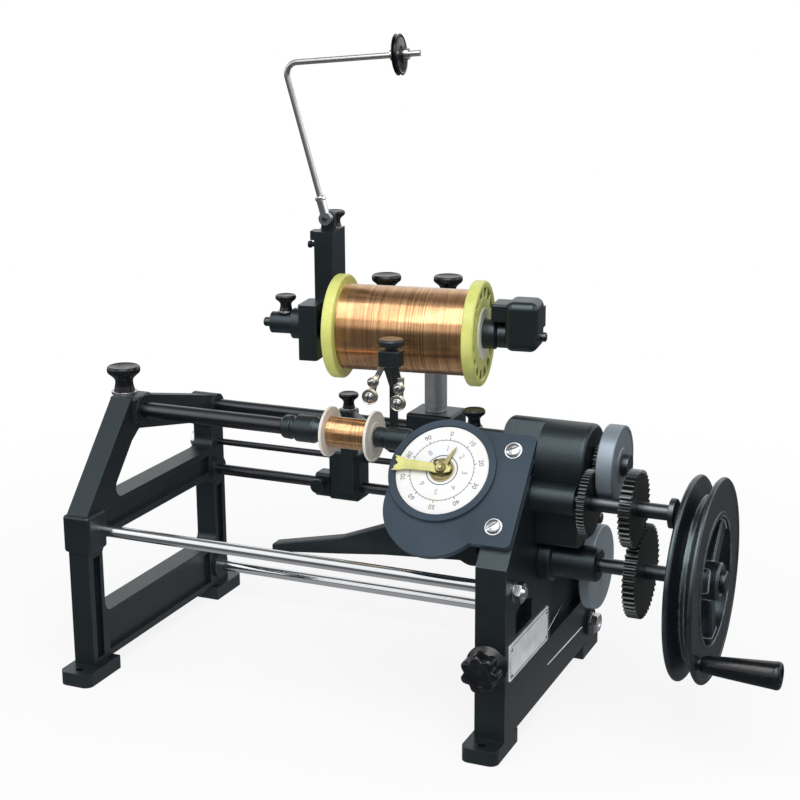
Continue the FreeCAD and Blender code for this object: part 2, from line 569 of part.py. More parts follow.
def build_housing():
    """Round spindle housing with its nose and the block under it, bored for the shafts."""
    barrel = cylinder("housing_barrel", S.housing_radius, housing_end - housing_start,
                      (housing_start, S.spindle_y, S.spindle_z), "X")
    barrel_soft = rounded("housing_barrel_soft", barrel, 4, lambda edge: not runs_along(edge, Vector(1, 0, 0)))
    nose = turned("spindle_nose", [(0, 0), (0, S.nose_radius - 3), (3, S.nose_radius),
                                   (housing_start + 5 - nose_start, S.nose_radius),
                                   (housing_start + 5 - nose_start, 0)],
                  (nose_start, S.spindle_y, S.spindle_z))
    web = block("housing_block", (right_outer + 0.2, housing_end - 6),
                (S.spindle_y - S.block_half_width, S.spindle_y + S.block_half_width),
                (S.block_bottom, S.spindle_z))
    web_soft = rounded("housing_block_soft", web, 5, lambda edge: runs_along(edge, Vector(1, 0, 0))
                       and edge.CenterOfMass.z < float(S.spindle_z) - 10)
    layshaft_boss = cylinder("layshaft_boss", S.bearing_boss_radius, housing_end - 5 - right_outer,
                             (right_outer + 0.2, layshaft_y, layshaft_z), "X")
    solid = fuse("housing_solid", barrel_soft, nose, web_soft, layshaft_boss)
    facet = doc.addObject("Part::Box", "plate_facet")
    bind(facet, "Length", plate_right + 3 - housing_start)
    bind(facet, "Width", S.plate_high + 30)
    bind(facet, "Height", 60)
    place(facet, housing_start - 2, plate_back_y, plate_back_z, plate_rotation())
    bore = cylinder("spindle_bore", S.shaft_radius + S.fit_gap, housing_end - nose_start + 4,
                    (nose_start - 2, S.spindle_y, S.spindle_z), "X")
    layshaft_bore = cylinder("layshaft_bore", S.shaft_radius + S.fit_gap, housing_end - layshaft_start() + 4,
                             (layshaft_start() - 1, layshaft_y, layshaft_z), "X")
    crank_clear = cylinder("crank_clear", S.bearing_flange_radius + 0.5, housing_end - right_outer + 10,
                           (right_outer - 2, S.crank_y, S.crank_z), "X")
    knob_bore = cylinder("nose_knob_bore", S.pin_radius + S.fit_gap, S.nose_radius - S.shaft_radius - 2,
                         (nose_knob_x(), S.spindle_y, S.spindle_z + S.shaft_radius + 3), "Z")
    node(cut("housing_cut", solid, facet, bore, layshaft_bore, crank_clear, knob_bore), "spindle_housing")


def nose_knob_x():
    return nose_start + 37


def layshaft_start():
    return right_outer + 3


def plate_rotation():
    """Turns the XY plane into the slanted plane of the dial plate."""
    return Rotation(Vector(1, 0, 0), 90 - float(S.slant_tilt))


def build_crank_bearing():
    spigot = right_inner + 2
    flange_start = right_outer + 0.2
    length = bearing_end - spigot
    flange_at = flange_start - spigot
    shell = turned("crank_bearing_shell", [
        (0, S.shaft_radius + S.fit_gap), (0, S.bearing_radius), (flange_at, S.bearing_radius),
        (flange_at, S.bearing_flange_radius), (flange_at + S.bearing_flange - 2, S.bearing_flange_radius),
        (flange_at + S.bearing_flange, S.bearing_flange_radius - 2),
        (flange_at + S.bearing_flange, S.bearing_radius), (length - 2, S.bearing_radius),
        (length, S.bearing_radius - 2), (length, S.shaft_radius + S.fit_gap)],
        (spigot, S.crank_y, S.crank_z))
    node(shell, "crank_bearing")


def gear(label, teeth, module, width, at, pointing):
    """A spur gear with involute flanks. One tooth points along the given angle in the YZ plane."""
    teeth, module = int(float(teeth)), float(module)
    pressure = math.radians(float(S.pressure_angle))
    pitch = module * teeth / 2
    base = pitch * math.cos(pressure)
    tip = pitch + module
    foot_radius = pitch - 1.25 * module
    involute = math.tan(pressure) - pressure
    half_tooth = math.pi / (2 * teeth) - float(S.backlash) * module / (4 * pitch)
    flank = []
    start = max(foot_radius, base)
    for step in range(5):
        radius = start + (tip - start) * step / 4
        roll = math.sqrt(max((radius / base) ** 2 - 1, 0))
        flank.append((radius, half_tooth + involute - (roll - math.atan(roll))))
    if foot_radius < base:
        flank.insert(0, (foot_radius, flank[0][1]))
    corners = []
    for tooth in range(teeth):
        centre = math.radians(pointing) + 2 * math.pi * tooth / teeth
        for radius, half in flank:
            corners.append((radius, centre - half))
        for radius, half in reversed(flank):
            corners.append((radius, centre + half))
    points = [Vector(0, r * math.cos(a), r * math.sin(a)) for r, a in corners]
    outline = Part.Face(Part.makePolygon(points + points[:1]))
    blank = outline.extrude(Vector(float(width), 0, 0))
    bore = Part.makeCylinder(float(S.shaft_radius + S.fit_gap), float(width) + 2, Vector(-1, 0, 0), Vector(1, 0, 0))
    wheel = doc.addObject("Part::Feature", f"{label}_teeth")
    wheel.Shape = blank.cut(bore)
    place(wheel, *at)
    return node(wheel, label)


def direction(from_y, from_z, to_y, to_z):
    """The angle in the YZ plane, in degrees, from one axis to another."""
    return math.degrees(math.atan2(float(to_z) - float(from_z), float(to_y) - float(from_y)))


def build_gears():
    """Both gear pairs, each in mesh at rest: a tooth of one points into a gap of the other."""
    crank = (S.crank_y, S.crank_z)
    lay = (layshaft_y, layshaft_z)
    spindle = (S.spindle_y, S.spindle_z)
    gear("crank_gear", S.crank_gear_teeth, S.drive_module, S.drive_gear_width + 1,
         (drive_gear_start, *crank), direction(*crank, *lay))
    gear("layshaft_pinion", S.layshaft_pinion_teeth, S.drive_module, S.drive_gear_width,
         (drive_gear_start + 0.5, *lay), direction(*lay, *crank) + 180 / float(S.layshaft_pinion_teeth))
    gear("layshaft_wheel", S.layshaft_wheel_teeth, S.spindle_module, S.spindle_gear_width - 1,
         (spindle_gear_start + 0.5, *lay), direction(*lay, *spindle))
    gear("spindle_pinion", S.spindle_pinion_teeth, S.spindle_module, S.spindle_gear_width,
         (spindle_gear_start, *spindle), direction(*spindle, *lay) + 180 / float(S.spindle_pinion_teeth))


def build_shafts():
    """Crank shaft with its end nut, layshaft with its collar, spindle with the bobbin's arbor."""
    crank_from = right_inner - 6
    crank_to = wheel_start + S.wheel_width + S.hub_overhang
    reach = crank_to - crank_from
    node(turned("crank_shaft_turned", [
        (0, 0), (0, S.shaft_radius + 3), (6, S.shaft_radius + 3), (6, S.shaft_radius), (reach, S.shaft_radius),
        (reach, S.shaft_radius + 3), (reach + 3.5, S.shaft_radius + 3), (reach + 4.5, S.shaft_radius + 1.5),
        (reach + 4.5, 0)], (crank_from, S.crank_y, S.crank_z)), "crank_shaft")
    length = layshaft_end - layshaft_start()
    collar_from = length - S.collar_length
    node(turned("layshaft_turned", [
        (0, 0), (0, S.shaft_radius), (collar_from, S.shaft_radius), (collar_from, S.collar_radius),
        (length - 1, S.collar_radius), (length, S.collar_radius - 1), (length, 0)],
        (layshaft_start(), layshaft_y, layshaft_z)), "layshaft")
    arbor_from = bobbin_middle - S.bobbin_spacing / 2 - S.bobbin_flange / 2 + 0.5
    disc_at = spindle_disc_start()
    node(turned("spindle_turned", [
        (arbor_from, 0), (arbor_from, S.arbor_radius), (nose_start - 1, S.arbor_radius),
        (nose_start - 1, S.shaft_radius),
        (disc_at + S.disc_thickness + 1, S.shaft_radius), (disc_at + S.disc_thickness + 1, S.shaft_radius + 3),
        (disc_at + S.disc_thickness + 6, S.shaft_radius + 3), (disc_at + S.disc_thickness + 6, 0)],
        (0, S.spindle_y, S.spindle_z)), "spindle_shaft")
    node(turned("spindle_disc_turned", [
        (0, S.shaft_radius + S.fit_gap), (0, S.disc_radius - 1), (1, S.disc_radius),
        (S.disc_thickness - 1, S.disc_radius), (S.disc_thickness, S.disc_radius - 1),
        (S.disc_thickness, S.shaft_radius + S.fit_gap)], (disc_at, S.spindle_y, S.spindle_z)), "spindle_disc")
    traverse_from = right_inner - 4
    disc_from = traverse_disc_start - traverse_from
    node(turned("traverse_turned", [
        (0, 0), (0, S.shaft_radius + 3), (3.5, S.shaft_radius + 3), (3.5, S.shaft_radius),
        (disc_from - 4, S.shaft_radius), (disc_from - 4, S.shaft_radius + 5), (disc_from, S.shaft_radius + 5),
        (disc_from, S.traverse_disc_radius - 1), (disc_from + 1, S.traverse_disc_radius),
        (disc_from + S.traverse_disc_thickness - 1, S.traverse_disc_radius),
        (disc_from + S.traverse_disc_thickness, S.traverse_disc_radius - 1),
        (disc_from + S.traverse_disc_thickness, S.shaft_radius + 4),
        (disc_from + S.traverse_disc_thickness + 3, S.shaft_radius + 4),
        (disc_from + S.traverse_disc_thickness + 3, 0)],
        (traverse_from, S.traverse_y, S.traverse_z)), "traverse_disc")


def spindle_disc_start():
    return spindle_gear_start + S.spindle_gear_width + S.gear_gap


def bobbin_right():
    return bobbin_middle + S.bobbin_spacing / 2 + S.bobbin_flange / 2


def build_handwheel():
    """Wheel with a wide flat rim, a V groove round it, three spokes and a hub."""
    width = S.wheel_width
    rim = turned("rim", [
        (0, S.wheel_inner_radius), (0, S.wheel_radius - 1), (1, S.wheel_radius),
        (S.flange_width - 1, S.wheel_radius), (S.flange_width, S.wheel_radius - 1),
        (width / 2 - 1.5, S.groove_radius), (width / 2 + 1.5, S.groove_radius),
        (width - S.flange_width, S.wheel_radius - 1), (width - S.flange_width + 1, S.wheel_radius),
        (width - 1, S.wheel_radius), (width, S.wheel_radius - 1), (width, S.wheel_inner_radius)],
        (wheel_start, S.crank_y, S.crank_z))
    hub = turned("hub", [(0, 0), (0, S.hub_radius), (width + S.hub_overhang - 1.5, S.hub_radius),
                         (width + S.hub_overhang, S.hub_radius - 1.5), (width + S.hub_overhang, 0)],
                 (wheel_start, S.crank_y, S.crank_z))
    spokes = []
    for index in range(int(float(S.spoke_count))):
        spoke = doc.addObject("Part::Box", f"spoke_{index}")
        bind(spoke, "Length", S.spoke_thickness)
        bind(spoke, "Width", S.wheel_inner_radius + 4)
        bind(spoke, "Height", S.spoke_width)
        angle = float(S.first_spoke) + 360 * index / float(S.spoke_count)
        turn = Rotation(Vector(1, 0, 0), angle)
        corner = turn.multVec(Vector(0, 0, -float(S.spoke_width) / 2))
        place(spoke, wheel_start + width - S.spoke_thickness - 3, S.crank_y + corner.y,
              S.crank_z + corner.z, turn)
        spokes.append(spoke)
    solid = fuse("wheel_solid", rim, hub, *spokes)
    bore = cylinder("wheel_bore", S.shaft_radius + S.fit_gap, width + 2 * S.hub_overhang,
                    (wheel_start - S.hub_overhang / 2, S.crank_y, S.crank_z), "X")
    pin_hole = cylinder("pin_hole", S.pin_radius + S.fit_gap, S.pin_depth + 2,
                        (wheel_start + width - S.pin_depth, handle_y(), handle_z()), "X")
    node(cut("wheel_cut", solid, bore, pin_hole), "handwheel")


def handle_y():
    return S.crank_y + S.handle_throw * cosine(S.handle_angle)


def handle_z():
    return S.crank_z + S.handle_throw * sine(S.handle_angle)


def build_handle():
    """Tapered grip that turns on a shouldered pin screwed into the rim."""
    face = wheel_start + S.wheel_width
    grip_from = face + 1.2
    length = S.handle_length
    hollow = S.pin_radius + S.fit_gap
    grip = turned("grip", [
        (0, hollow), (0, S.handle_root_radius), (length - 4, S.handle_end_radius),
        (length - 1.2, S.handle_end_radius - 1), (length, S.handle_end_radius - 2.6),
        (length, hollow + 1.6), (length - S.pin_head - 1.5, hollow + 1.6), (length - S.pin_head - 1.5, hollow)],
        (grip_from, handle_y(), handle_z()))
    node(grip, "crank_handle")
    shank = S.pin_depth - 0.5
    head_from = shank + 1.2 + length - S.pin_head - 1.2
    pin = turned("pin", [
        (0, 0), (0, S.pin_radius), (shank + 0.1, S.pin_radius), (shank + 0.1, S.pin_radius + 1.5),
        (shank + 1.0, S.pin_radius + 1.5), (shank + 1.0, S.pin_radius), (head_from, S.pin_radius),
        (head_from, S.pin_radius + 1.4), (head_from + S.pin_head - 1, S.pin_radius + 1.4),
        (head_from + S.pin_head, S.pin_radius), (head_from + S.pin_head, 0)],
        (face - shank, handle_y(), handle_z()))
    node(pin, "handle_pin")


def build_bobbin():
    """The small bobbin, its winding, the drive chuck and the tail parts on the spindle's axis."""
    half = S.bobbin_spacing / 2
    outer = half + S.bobbin_flange / 2
    inner = half - S.bobbin_flange / 2
    bore = S.arbor_radius + S.fit_gap
    middle = (bobbin_middle, S.spindle_y, S.spindle_z)
    node(turned("bobbin_turned", [
        (-outer, bore), (-outer, S.bobbin_radius), (-inner, S.bobbin_radius), (-inner, S.bobbin_core_radius),
        (inner, S.bobbin_core_radius), (inner, S.bobbin_radius), (outer, S.bobbin_radius), (outer, bore)],
        middle), "bobbin")
    wound = inner - 0.1
    node(turned("bobbin_wound", [
        (-wound, S.bobbin_core_radius + S.fit_gap), (-wound, S.bobbin_wound_radius),
        (wound, S.bobbin_wound_radius), (wound, S.bobbin_core_radius + S.fit_gap)], middle), "bobbin_winding")
    chuck_from = bobbin_right() + 0.1
    node(turned("chuck_turned", [
        (0, bore), (0, S.chuck_radius - 2), (2, S.chuck_radius), (S.chuck_length - 1, S.chuck_radius),
        (S.chuck_length, S.chuck_radius - 1), (S.chuck_length, bore)],
        (chuck_from, S.spindle_y, S.spindle_z)), "drive_chuck")
    cup_end = bobbin_middle - outer - 0.1
    cup_from = cup_end - S.cup_length
    hub = S.quill_radius - 2
    node(turned("cup_turned", [
        (0, 0), (0, S.cup_radius - 2), (2, S.cup_radius), (S.cup_length - 9, S.cup_radius),
        (S.cup_length - 7, S.cup_radius - 2), (S.cup_length, hub + 2), (S.cup_length, 0)],
        (cup_from, S.spindle_y, S.spindle_z)), "live_centre")
    quill_from = left_outer - S.tail_boss_overhang - 6
    node(turned("quill_turned", [
        (quill_from, 0), (quill_from, S.quill_radius - 1), (quill_from + 1, S.quill_radius),
        (cup_from - 0.3, S.quill_radius), (cup_from - 0.3, 0)], (0, S.spindle_y, S.spindle_z)), "tail_quill")


def thumb_knob(label, at, along="Z", scale=1.0):
    """A turned thumb knob: stud, bright washer, neck and a domed cap."""
    cap = S.knob_radius * scale
    neck = S.knob_neck_radius * scale
    top = S.knob_height * scale
    washer = S.knob_washer * scale
    return node(turned(f"{label}_turned", [
        (-4, 0), (-4, S.pin_radius), (0.2, S.pin_radius), (0.2, neck + 1.5 * scale),
        (washer, neck + 1.5 * scale), (washer, neck), (top * 0.5, neck - scale), (top * 0.66, cap - scale),
        (top * 0.72, cap), (top * 0.84, cap), (top * 0.92, cap - 2 * scale), (top, cap * 0.6), (top, 0)],
        at, along), label)


def build_knobs():
    """The black thumb knobs of the tailstock, the nose and the guide carriage."""
    thumb_knob("tail_lock_knob", (tail_knob_x(), S.spindle_y, S.tail_block_top))
    thumb_knob("nose_lock_knob", (nose_knob_x(), S.spindle_y, S.spindle_z + S.nose_radius), "Z", 0.62)
    thumb_knob("guide_lock_knob", (column_x(), column_y(), arm_high()), "Z", 0.62)


def build_star_knob():
    """Lobed knob with a wide collar and a stud, on the front of the right leg."""
    front = -S.leg_reach - 0.2
    collar = turned("star_collar_turned", [
        (-6, 0), (-6, S.pin_radius), (0, S.pin_radius), (0, S.star_collar_radius),
        (2.5, S.star_collar_radius), (S.star_collar, S.star_radius), (S.star_collar, 0)],
        (star_x, front, S.star_z), "-Y")
    grip_from = front - S.star_collar
    core = cylinder("star_core", S.star_radius, S.star_thickness, (star_x, grip_from, S.star_z), "-Y")
    lobes = []
    for index in range(int(float(S.star_lobes))):
        angle = 360 * index / float(S.star_lobes)
        lobes.append(cylinder(f"star_lobe_{index}", S.star_lobe_radius, S.star_thickness - 2,
                              (star_x + S.star_radius * math.cos(math.radians(angle)), grip_from,
                               S.star_z + S.star_radius * math.sin(math.radians(angle))), "-Y"))
    node(fuse("star_solid", collar, core, *lobes), "star_knob")


def build_dial():
    """Slanted plate with its bezel, the white face, two hands and two screws."""
    turn = plate_rotation()
    pin_start = 0.2

    def lay(piece, across, up, height):
        """Put a piece on the plate, at a place measured in the plate's own directions."""
        y = plate_back_y + up * slant_sin - height * slant_cos
        z = plate_back_z + up * slant_cos + height * slant_sin
        return place(piece, across, y, z, turn)

    def disc(name, radius, length, across, up, height):
        piece = doc.addObject("Part::Cylinder", name)
        bind(piece, "Radius", radius)
        bind(piece, "Height", length)
        return lay(piece, across, up, as_size(height))

    panel = doc.addObject("Part::Box", "plate_panel")
    bind(panel, "Length", plate_right - dial_x)
    bind(panel, "Width", S.plate_high - S.plate_low)
    bind(panel, "Height", S.plate_thickness)
    lay(panel, dial_x, S.plate_low, as_size(0))
    up_plate = Vector(0, float(slant_sin), float(slant_cos))
    panel_soft = rounded("plate_panel_soft", panel, 5, lambda edge: not runs_along(edge, up_plate)
                         and abs(edge.CenterOfMass.x - float(plate_right)) < 0.01)
    upper = disc("plate_upper", S.plate_radius, S.plate_thickness, dial_x, S.dial_up, 0)
    lower = disc("plate_lower", S.plate_radius, S.plate_thickness, lobe_x, S.lobe_up, 0)
    bezel = disc("bezel_ring", S.plate_radius - 0.5, S.plate_thickness + S.bezel_height, dial_x, S.dial_up, 0)
    recess = disc("bezel_recess", S.bezel_inner_radius, S.bezel_height + 4, dial_x, S.dial_up,
                  S.plate_thickness)
    studs = [disc(f"plate_stud_hole_{index}", S.screw_shank_radius + S.fit_gap, S.plate_thickness + 4,
                  screw_x, up, -2) for index, up in enumerate((S.screw_high, S.screw_low))]
    arbor = disc("hand_arbor_hole", S.hand_pin_radius + S.fit_gap, S.plate_thickness + 4, dial_x, S.dial_up, -2)
    node(cut("plate_cut", fuse("plate_solid", panel_soft, upper, lower, bezel), recess, arbor, *studs), "dial_plate")

    face = disc("face_disc", S.face_radius, S.face_thickness, dial_x, S.dial_up, S.plate_thickness + 0.05)
    face_hole = disc("face_hole", S.hand_pin_radius + S.fit_gap, S.face_thickness + 2, dial_x, S.dial_up,
                     S.plate_thickness - 1)
    node(cut("face_cut", face, face_hole), "dial_face")

    screws = []
    for index, up in enumerate((S.screw_high, S.screw_low)):
        head = disc(f"screw_head_{index}", S.screw_head_radius, S.screw_head_height, screw_x, up,
                    S.plate_thickness + 0.05)
        crown = rounded(f"screw_crown_{index}", head, S.screw_crown, lambda edge: top_circle(edge, head))
        shank = disc(f"screw_shank_{index}", S.screw_shank_radius, S.plate_thickness + 0.5, screw_x, up, 0)
        screws.append(fuse(f"screw_{index}", crown, shank))
    node(group("screw_pair", *screws), "plate_screws")

    face_top = S.plate_thickness + S.face_thickness
    short_level = face_top + 0.8
    long_level = short_level + S.hand_thickness + 0.8
    reach = S.short_hand_reach
    short = slab("short_hand_strip", "XY_Plane", [[
        (-5, -1.6), (-5, 1.6), (0, 2.6), (reach - 5, 1.5), (reach, 0), (reach - 5, -1.5), (0, -2.6)]],
        S.hand_thickness)
    lay(short, dial_x, S.dial_up, short_level)
    short.Placement = FreeCAD.Placement(short.Placement.Base, turn * Rotation(Vector(0, 0, 1), 58))
    short_hub = disc("short_hub", 3.6, S.hand_thickness, dial_x, S.dial_up, short_level)
    short_hole = disc("short_hole", S.hand_pin_radius + S.fit_gap, S.hand_thickness + 2, dial_x, S.dial_up,
                      short_level - 1)
    node(cut("short_hand_cut", fuse("short_hand_solid", short, short_hub), short_hole), "short_hand")

    reach = S.long_hand_reach
    long = slab("long_hand_strip", "XY_Plane", [[
        (-reach, 6), (-reach + 3.5, 0), (-reach, -6), (-reach + 11, -4.2), (0, -3.4), (9, -2.2), (9, 2.2),
        (0, 3.4), (-reach + 11, 4.2)]], S.hand_thickness)
    lay(long, dial_x, S.dial_up, long_level)
    nut = disc("hand_nut", 4.6, S.hand_thickness + 2.6, dial_x, S.dial_up, long_level)
    pin = disc("hand_pin", S.hand_pin_radius, long_level + 0.5, dial_x, S.dial_up, pin_start)
    node(fuse("long_hand_solid", long, nut, pin), "long_hand")


def top_circle(edge, head):
    """True for the outer circle of a screw head's free face."""
    normal = head.Placement.Rotation.multVec(Vector(0, 0, 1))
    height = (edge.CenterOfMass - head.Placement.Base).dot(normal)
    return edge.Curve.TypeId == "Part::GeomCircle" and abs(height - float(S.screw_head_height)) < 0.01


def build_nameplate():
    """Thin plate on the outer face of the right frame, a little back from its front edge."""
    front = -S.leg_reach + S.nameplate_inset
    plate = block("nameplate_strip", (right_outer + S.fit_gap, right_outer + S.fit_gap + S.nameplate_thickness),
                  (front, front + S.nameplate_length),
                  (S.nameplate_low, S.nameplate_low + S.nameplate_height))
    node(rounded("nameplate_soft", plate, 2, lambda edge: runs_along(edge, Vector(1, 0, 0))), "nameplate")


def build_lever():
    """Long tapered lever between the frames, hung on the pin of the right frame's lug."""
    tip = lever_tip_x
    z = S.lever_tip_z
    waist_x = lever_pivot_x - S.lever_waist
    elbow_x = lever_pivot_x - S.lever_elbow
    shoulder_x = lever_pivot_x - S.lever_shoulder
    under = S.lever_boss_radius - 4
    arm = slab("lever_arm", "XZ_Plane", [[
        (tip, z - S.lever_tip_half), (waist_x, z + 3), (elbow_x, z + 7.5), (lever_pivot_x, S.lever_pivot_z - under),
        (lever_pivot_x, S.lever_pivot_z + S.lever_boss_radius - 2), (shoulder_x, z + S.lever_shoulder_rise),
        (elbow_x - 2, z + S.lever_elbow_rise), (waist_x, z + 3 + S.lever_waist_depth),
        (tip, z + S.lever_tip_half)]], S.lever_thickness, (0, S.lever_y + S.lever_thickness, 0))
    soft = rounded("lever_arm_soft", arm, 2, lambda edge: runs_along(edge, Vector(0, 1, 0))
                   and edge.CenterOfMass.x < float(tip) + 1)
    boss = cylinder("lever_boss", S.lever_boss_radius, S.lever_thickness,
                    (lever_pivot_x, S.lever_y, S.lever_pivot_z), "Y")
    hole = cylinder("lever_hole", S.lever_pin_radius + S.fit_gap, S.lever_thickness + 4,
                    (lever_pivot_x, S.lever_y - 2, S.lever_pivot_z), "Y")
    node(cut("lever_cut", fuse("lever_solid", soft, boss), hole), "feed_lever")


def column_x():
    return carriage_x + S.carriage_length / 2 - S.column_inset


def column_y():
    return S.guide_rod_y - S.column_forward


def arm_high():
    return S.upper_rod_z + S.upper_rod_radius + S.guide_arm_thickness + S.arm_clearance


def build_carriage():
    """Block that slides on the two lower rear rods, and the column that stands on it."""
    low_x = carriage_x - S.carriage_length / 2
    high_x = carriage_x + S.carriage_length / 2
    body = block("carriage_block", (low_x, high_x),
                 (S.guide_rod_y - S.carriage_front, S.carriage_rod_y + S.carriage_back),
                 (S.guide_rod_z - S.carriage_below, S.carriage_rod_z + S.carriage_above))
    soft = rounded("carriage_soft", body, 2.5, lambda edge: True)
    arm_low = arm_high() - S.guide_arm_thickness
    half = S.column_half
    column = block("carriage_column", (column_x() - half, column_x() + half), (column_y() - half, column_y() + half),
                   (S.guide_rod_z, arm_low - S.fit_gap))
    stud = cylinder("column_stud", S.pin_radius, S.guide_arm_thickness - 2.5,
                    (column_x(), column_y(), arm_low - 2), "Z")
    guide_bore = cylinder("carriage_guide_bore", S.rod_radius + S.fit_gap, S.carriage_length + 4,
                          (low_x - 2, S.guide_rod_y, S.guide_rod_z), "X")
    rod_bore = cylinder("carriage_rod_bore", S.carriage_rod_radius + S.fit_gap, S.carriage_length + 4,
                        (low_x - 2, S.carriage_rod_y, S.carriage_rod_z), "X")
    node(cut("carriage_cut", fuse("carriage_solid", soft, column, stud), guide_bore, rod_bore), "guide_carriage")


def wheel_places():
    """Axis places (x, z, radius) of the guide wheels, two on each side of the guide head."""
    middle = guide_head_x - S.guide_wheel_shift
    left_x = middle - S.wheel_spread / 2
    right_x = middle + S.wheel_spread / 2
    left_z = S.guide_wheel_z
    right_z = S.guide_wheel_z - S.right_wheel_drop
    return {
        "left_guide_wheel": (left_x, left_z, S.guide_wheel_radius),
        "left_small_wheel": (left_x + S.left_small_shift, left_z + S.small_wheel_rise, S.small_wheel_radius),
        "right_guide_wheel": (right_x, right_z, S.guide_wheel_radius),
        "right_small_wheel": (right_x + S.right_small_shift, right_z + S.small_wheel_rise, S.small_wheel_radius),
    }


def build_guide_arm():
    """Flat bar from the carriage to the front, riser, guide head and the two forks with their axles."""
    high = arm_high()
    low = high - S.guide_arm_thickness
    start = (column_x(), column_y())
    end = (guide_head_x - 5, S.guide_knee_y)
    dx = end[0] - start[0]
    dy = end[1] - start[1]
    length = root(dx * dx + dy * dy)
    half_x = dy / length * S.guide_arm_width / 2
    half_y = dx / length * S.guide_arm_width / 2
    bar = slab("guide_bar", "XY_Plane", [[
        (start[0] + half_x, start[1] - half_y), (end[0] + half_x, end[1] - half_y),
        (end[0] - half_x, end[1] + half_y), (start[0] - half_x, start[1] + half_y)]],
        S.guide_arm_thickness, (0, 0, low))
    eye = cylinder("guide_eye", S.guide_eye_radius, S.guide_arm_thickness, (*start, low), "Z")
    riser_x = end[0]
    width = S.guide_arm_width / 2
    riser = block("guide_riser", (riser_x - width + 1.5, riser_x + width - 1.5), (end[1] - 3, end[1] + 3.5),
                  (low, S.guide_knee_z + 24))
    head = block("guide_head_block", (guide_head_x - 9, guide_head_x + 9),
                 (S.guide_head_y - 7, S.guide_head_y + 6.5), (S.guide_head_low, S.guide_head_high))
    head_soft = rounded("guide_head_soft", head, 1.5, lambda edge: True)
    link = slab("guide_link", "YZ_Plane", [[
        (end[1] - 3, S.guide_knee_z + 14), (end[1] + 3.5, S.guide_knee_z + 14),
        (end[1] + 3.5, S.guide_knee_z + 24), (S.guide_head_y + 3, S.guide_head_low + 6),
        (S.guide_head_y - 4, S.guide_head_low + 6)]], S.guide_arm_width - 3, (riser_x - width + 1.5, 0, 0))
    neck = cylinder("guide_head_neck", 5, 5, (guide_head_x, S.guide_head_y, S.guide_head_high - 1), "Z")
    cap = cylinder("guide_head_cap", 10.5, 6, (guide_head_x, S.guide_head_y, S.guide_head_high + 3), "Z")
    cap_soft = rounded("guide_cap_soft", cap, 2, lambda edge: not runs_along(edge, Vector(0, 0, 1)))
    front_face = S.guide_head_y - 7
    plate_y = front_face + 2
    forks = []
    places = wheel_places()
    for side, shift in (("left", -5), ("right", 5)):
        big_x, big_z, _ = places[f"{side}_guide_wheel"]
        small_x, small_z, _ = places[f"{side}_small_wheel"]
        top_x = guide_head_x + shift
        strip = slab(f"{side}_fork_strip", "XZ_Plane", [[
            (top_x - 2, S.guide_head_low + 3), (small_x - 2, small_z), (big_x - 2.2, big_z),
            (big_x + 2.2, big_z - 1), (small_x + 2, small_z), (top_x + 2, S.guide_head_low + 3)]],
            S.guide_fork_thickness, (0, plate_y + S.guide_fork_thickness, 0))
        forks.append(strip)
        for size, (x, z) in (("big", (big_x, big_z)), ("small", (small_x, small_z))):
            forks.append(cylinder(f"{side}_{size}_axle", 1.5, S.guide_wheel_width + 2.5,
                                  (x, plate_y + 0.5, z), "-Y"))
            forks.append(cylinder(f"{side}_{size}_axle_head", 2.6, 1.2,
                                  (x, plate_y - S.guide_wheel_width - 1.2, z), "-Y"))
            forks.append(cylinder(f"{side}_{size}_boss", 2.8, S.guide_fork_thickness, (x, plate_y, z), "Y"))
    solid = fuse("guide_arm_solid", bar, eye, riser, link, head_soft, neck, cap_soft, *forks)
    socket = cylinder("column_socket", S.pin_radius + S.fit_gap, S.guide_arm_thickness + 4, (*start, low - 2), "Z")
    node(cut("guide_arm_cut", solid, socket), "guide_arm")
    for label, (x, z, radius) in places.items():
        half = S.guide_wheel_width / 2
        hole = as_size(1.5) + S.fit_gap
        node(turned(f"{label}_turned", [
            (-half, hole), (-half, radius), (-half + 0.8, radius), (0, radius - 1.8), (half - 0.8, radius),
            (half, radius), (half, hole)], (x, plate_y - half - 0.5, z), "Y"), label)


def build_rod_clamp():
    """Clamp that ties the carriage to the guide rod, with its small screw."""
    half = S.clamp_width / 2
    body = block("clamp_block", (clamp_x - half, clamp_x + half), (S.guide_rod_y - 11, S.guide_rod_y + 8),
                 (S.guide_rod_z - 10, S.guide_rod_z + 12))
    soft = rounded("clamp_soft", body, 3, lambda edge: runs_along(edge, Vector(1, 0, 0)))
    screw = cylinder("clamp_screw", 4, 9, (clamp_x, S.guide_rod_y - 10, S.guide_rod_z + 3), "-Y")
    head = cylinder("clamp_screw_head", 6.5, 4, (clamp_x, S.guide_rod_y - 19, S.guide_rod_z + 3), "-Y")
    bore = cylinder("clamp_bore", S.rod_radius + S.fit_gap, S.clamp_width + 4,
                    (clamp_x - half - 2, S.guide_rod_y, S.guide_rod_z), "X")
    node(cut("clamp_cut", fuse("clamp_solid", soft, screw, head), bore), "rod_clamp")


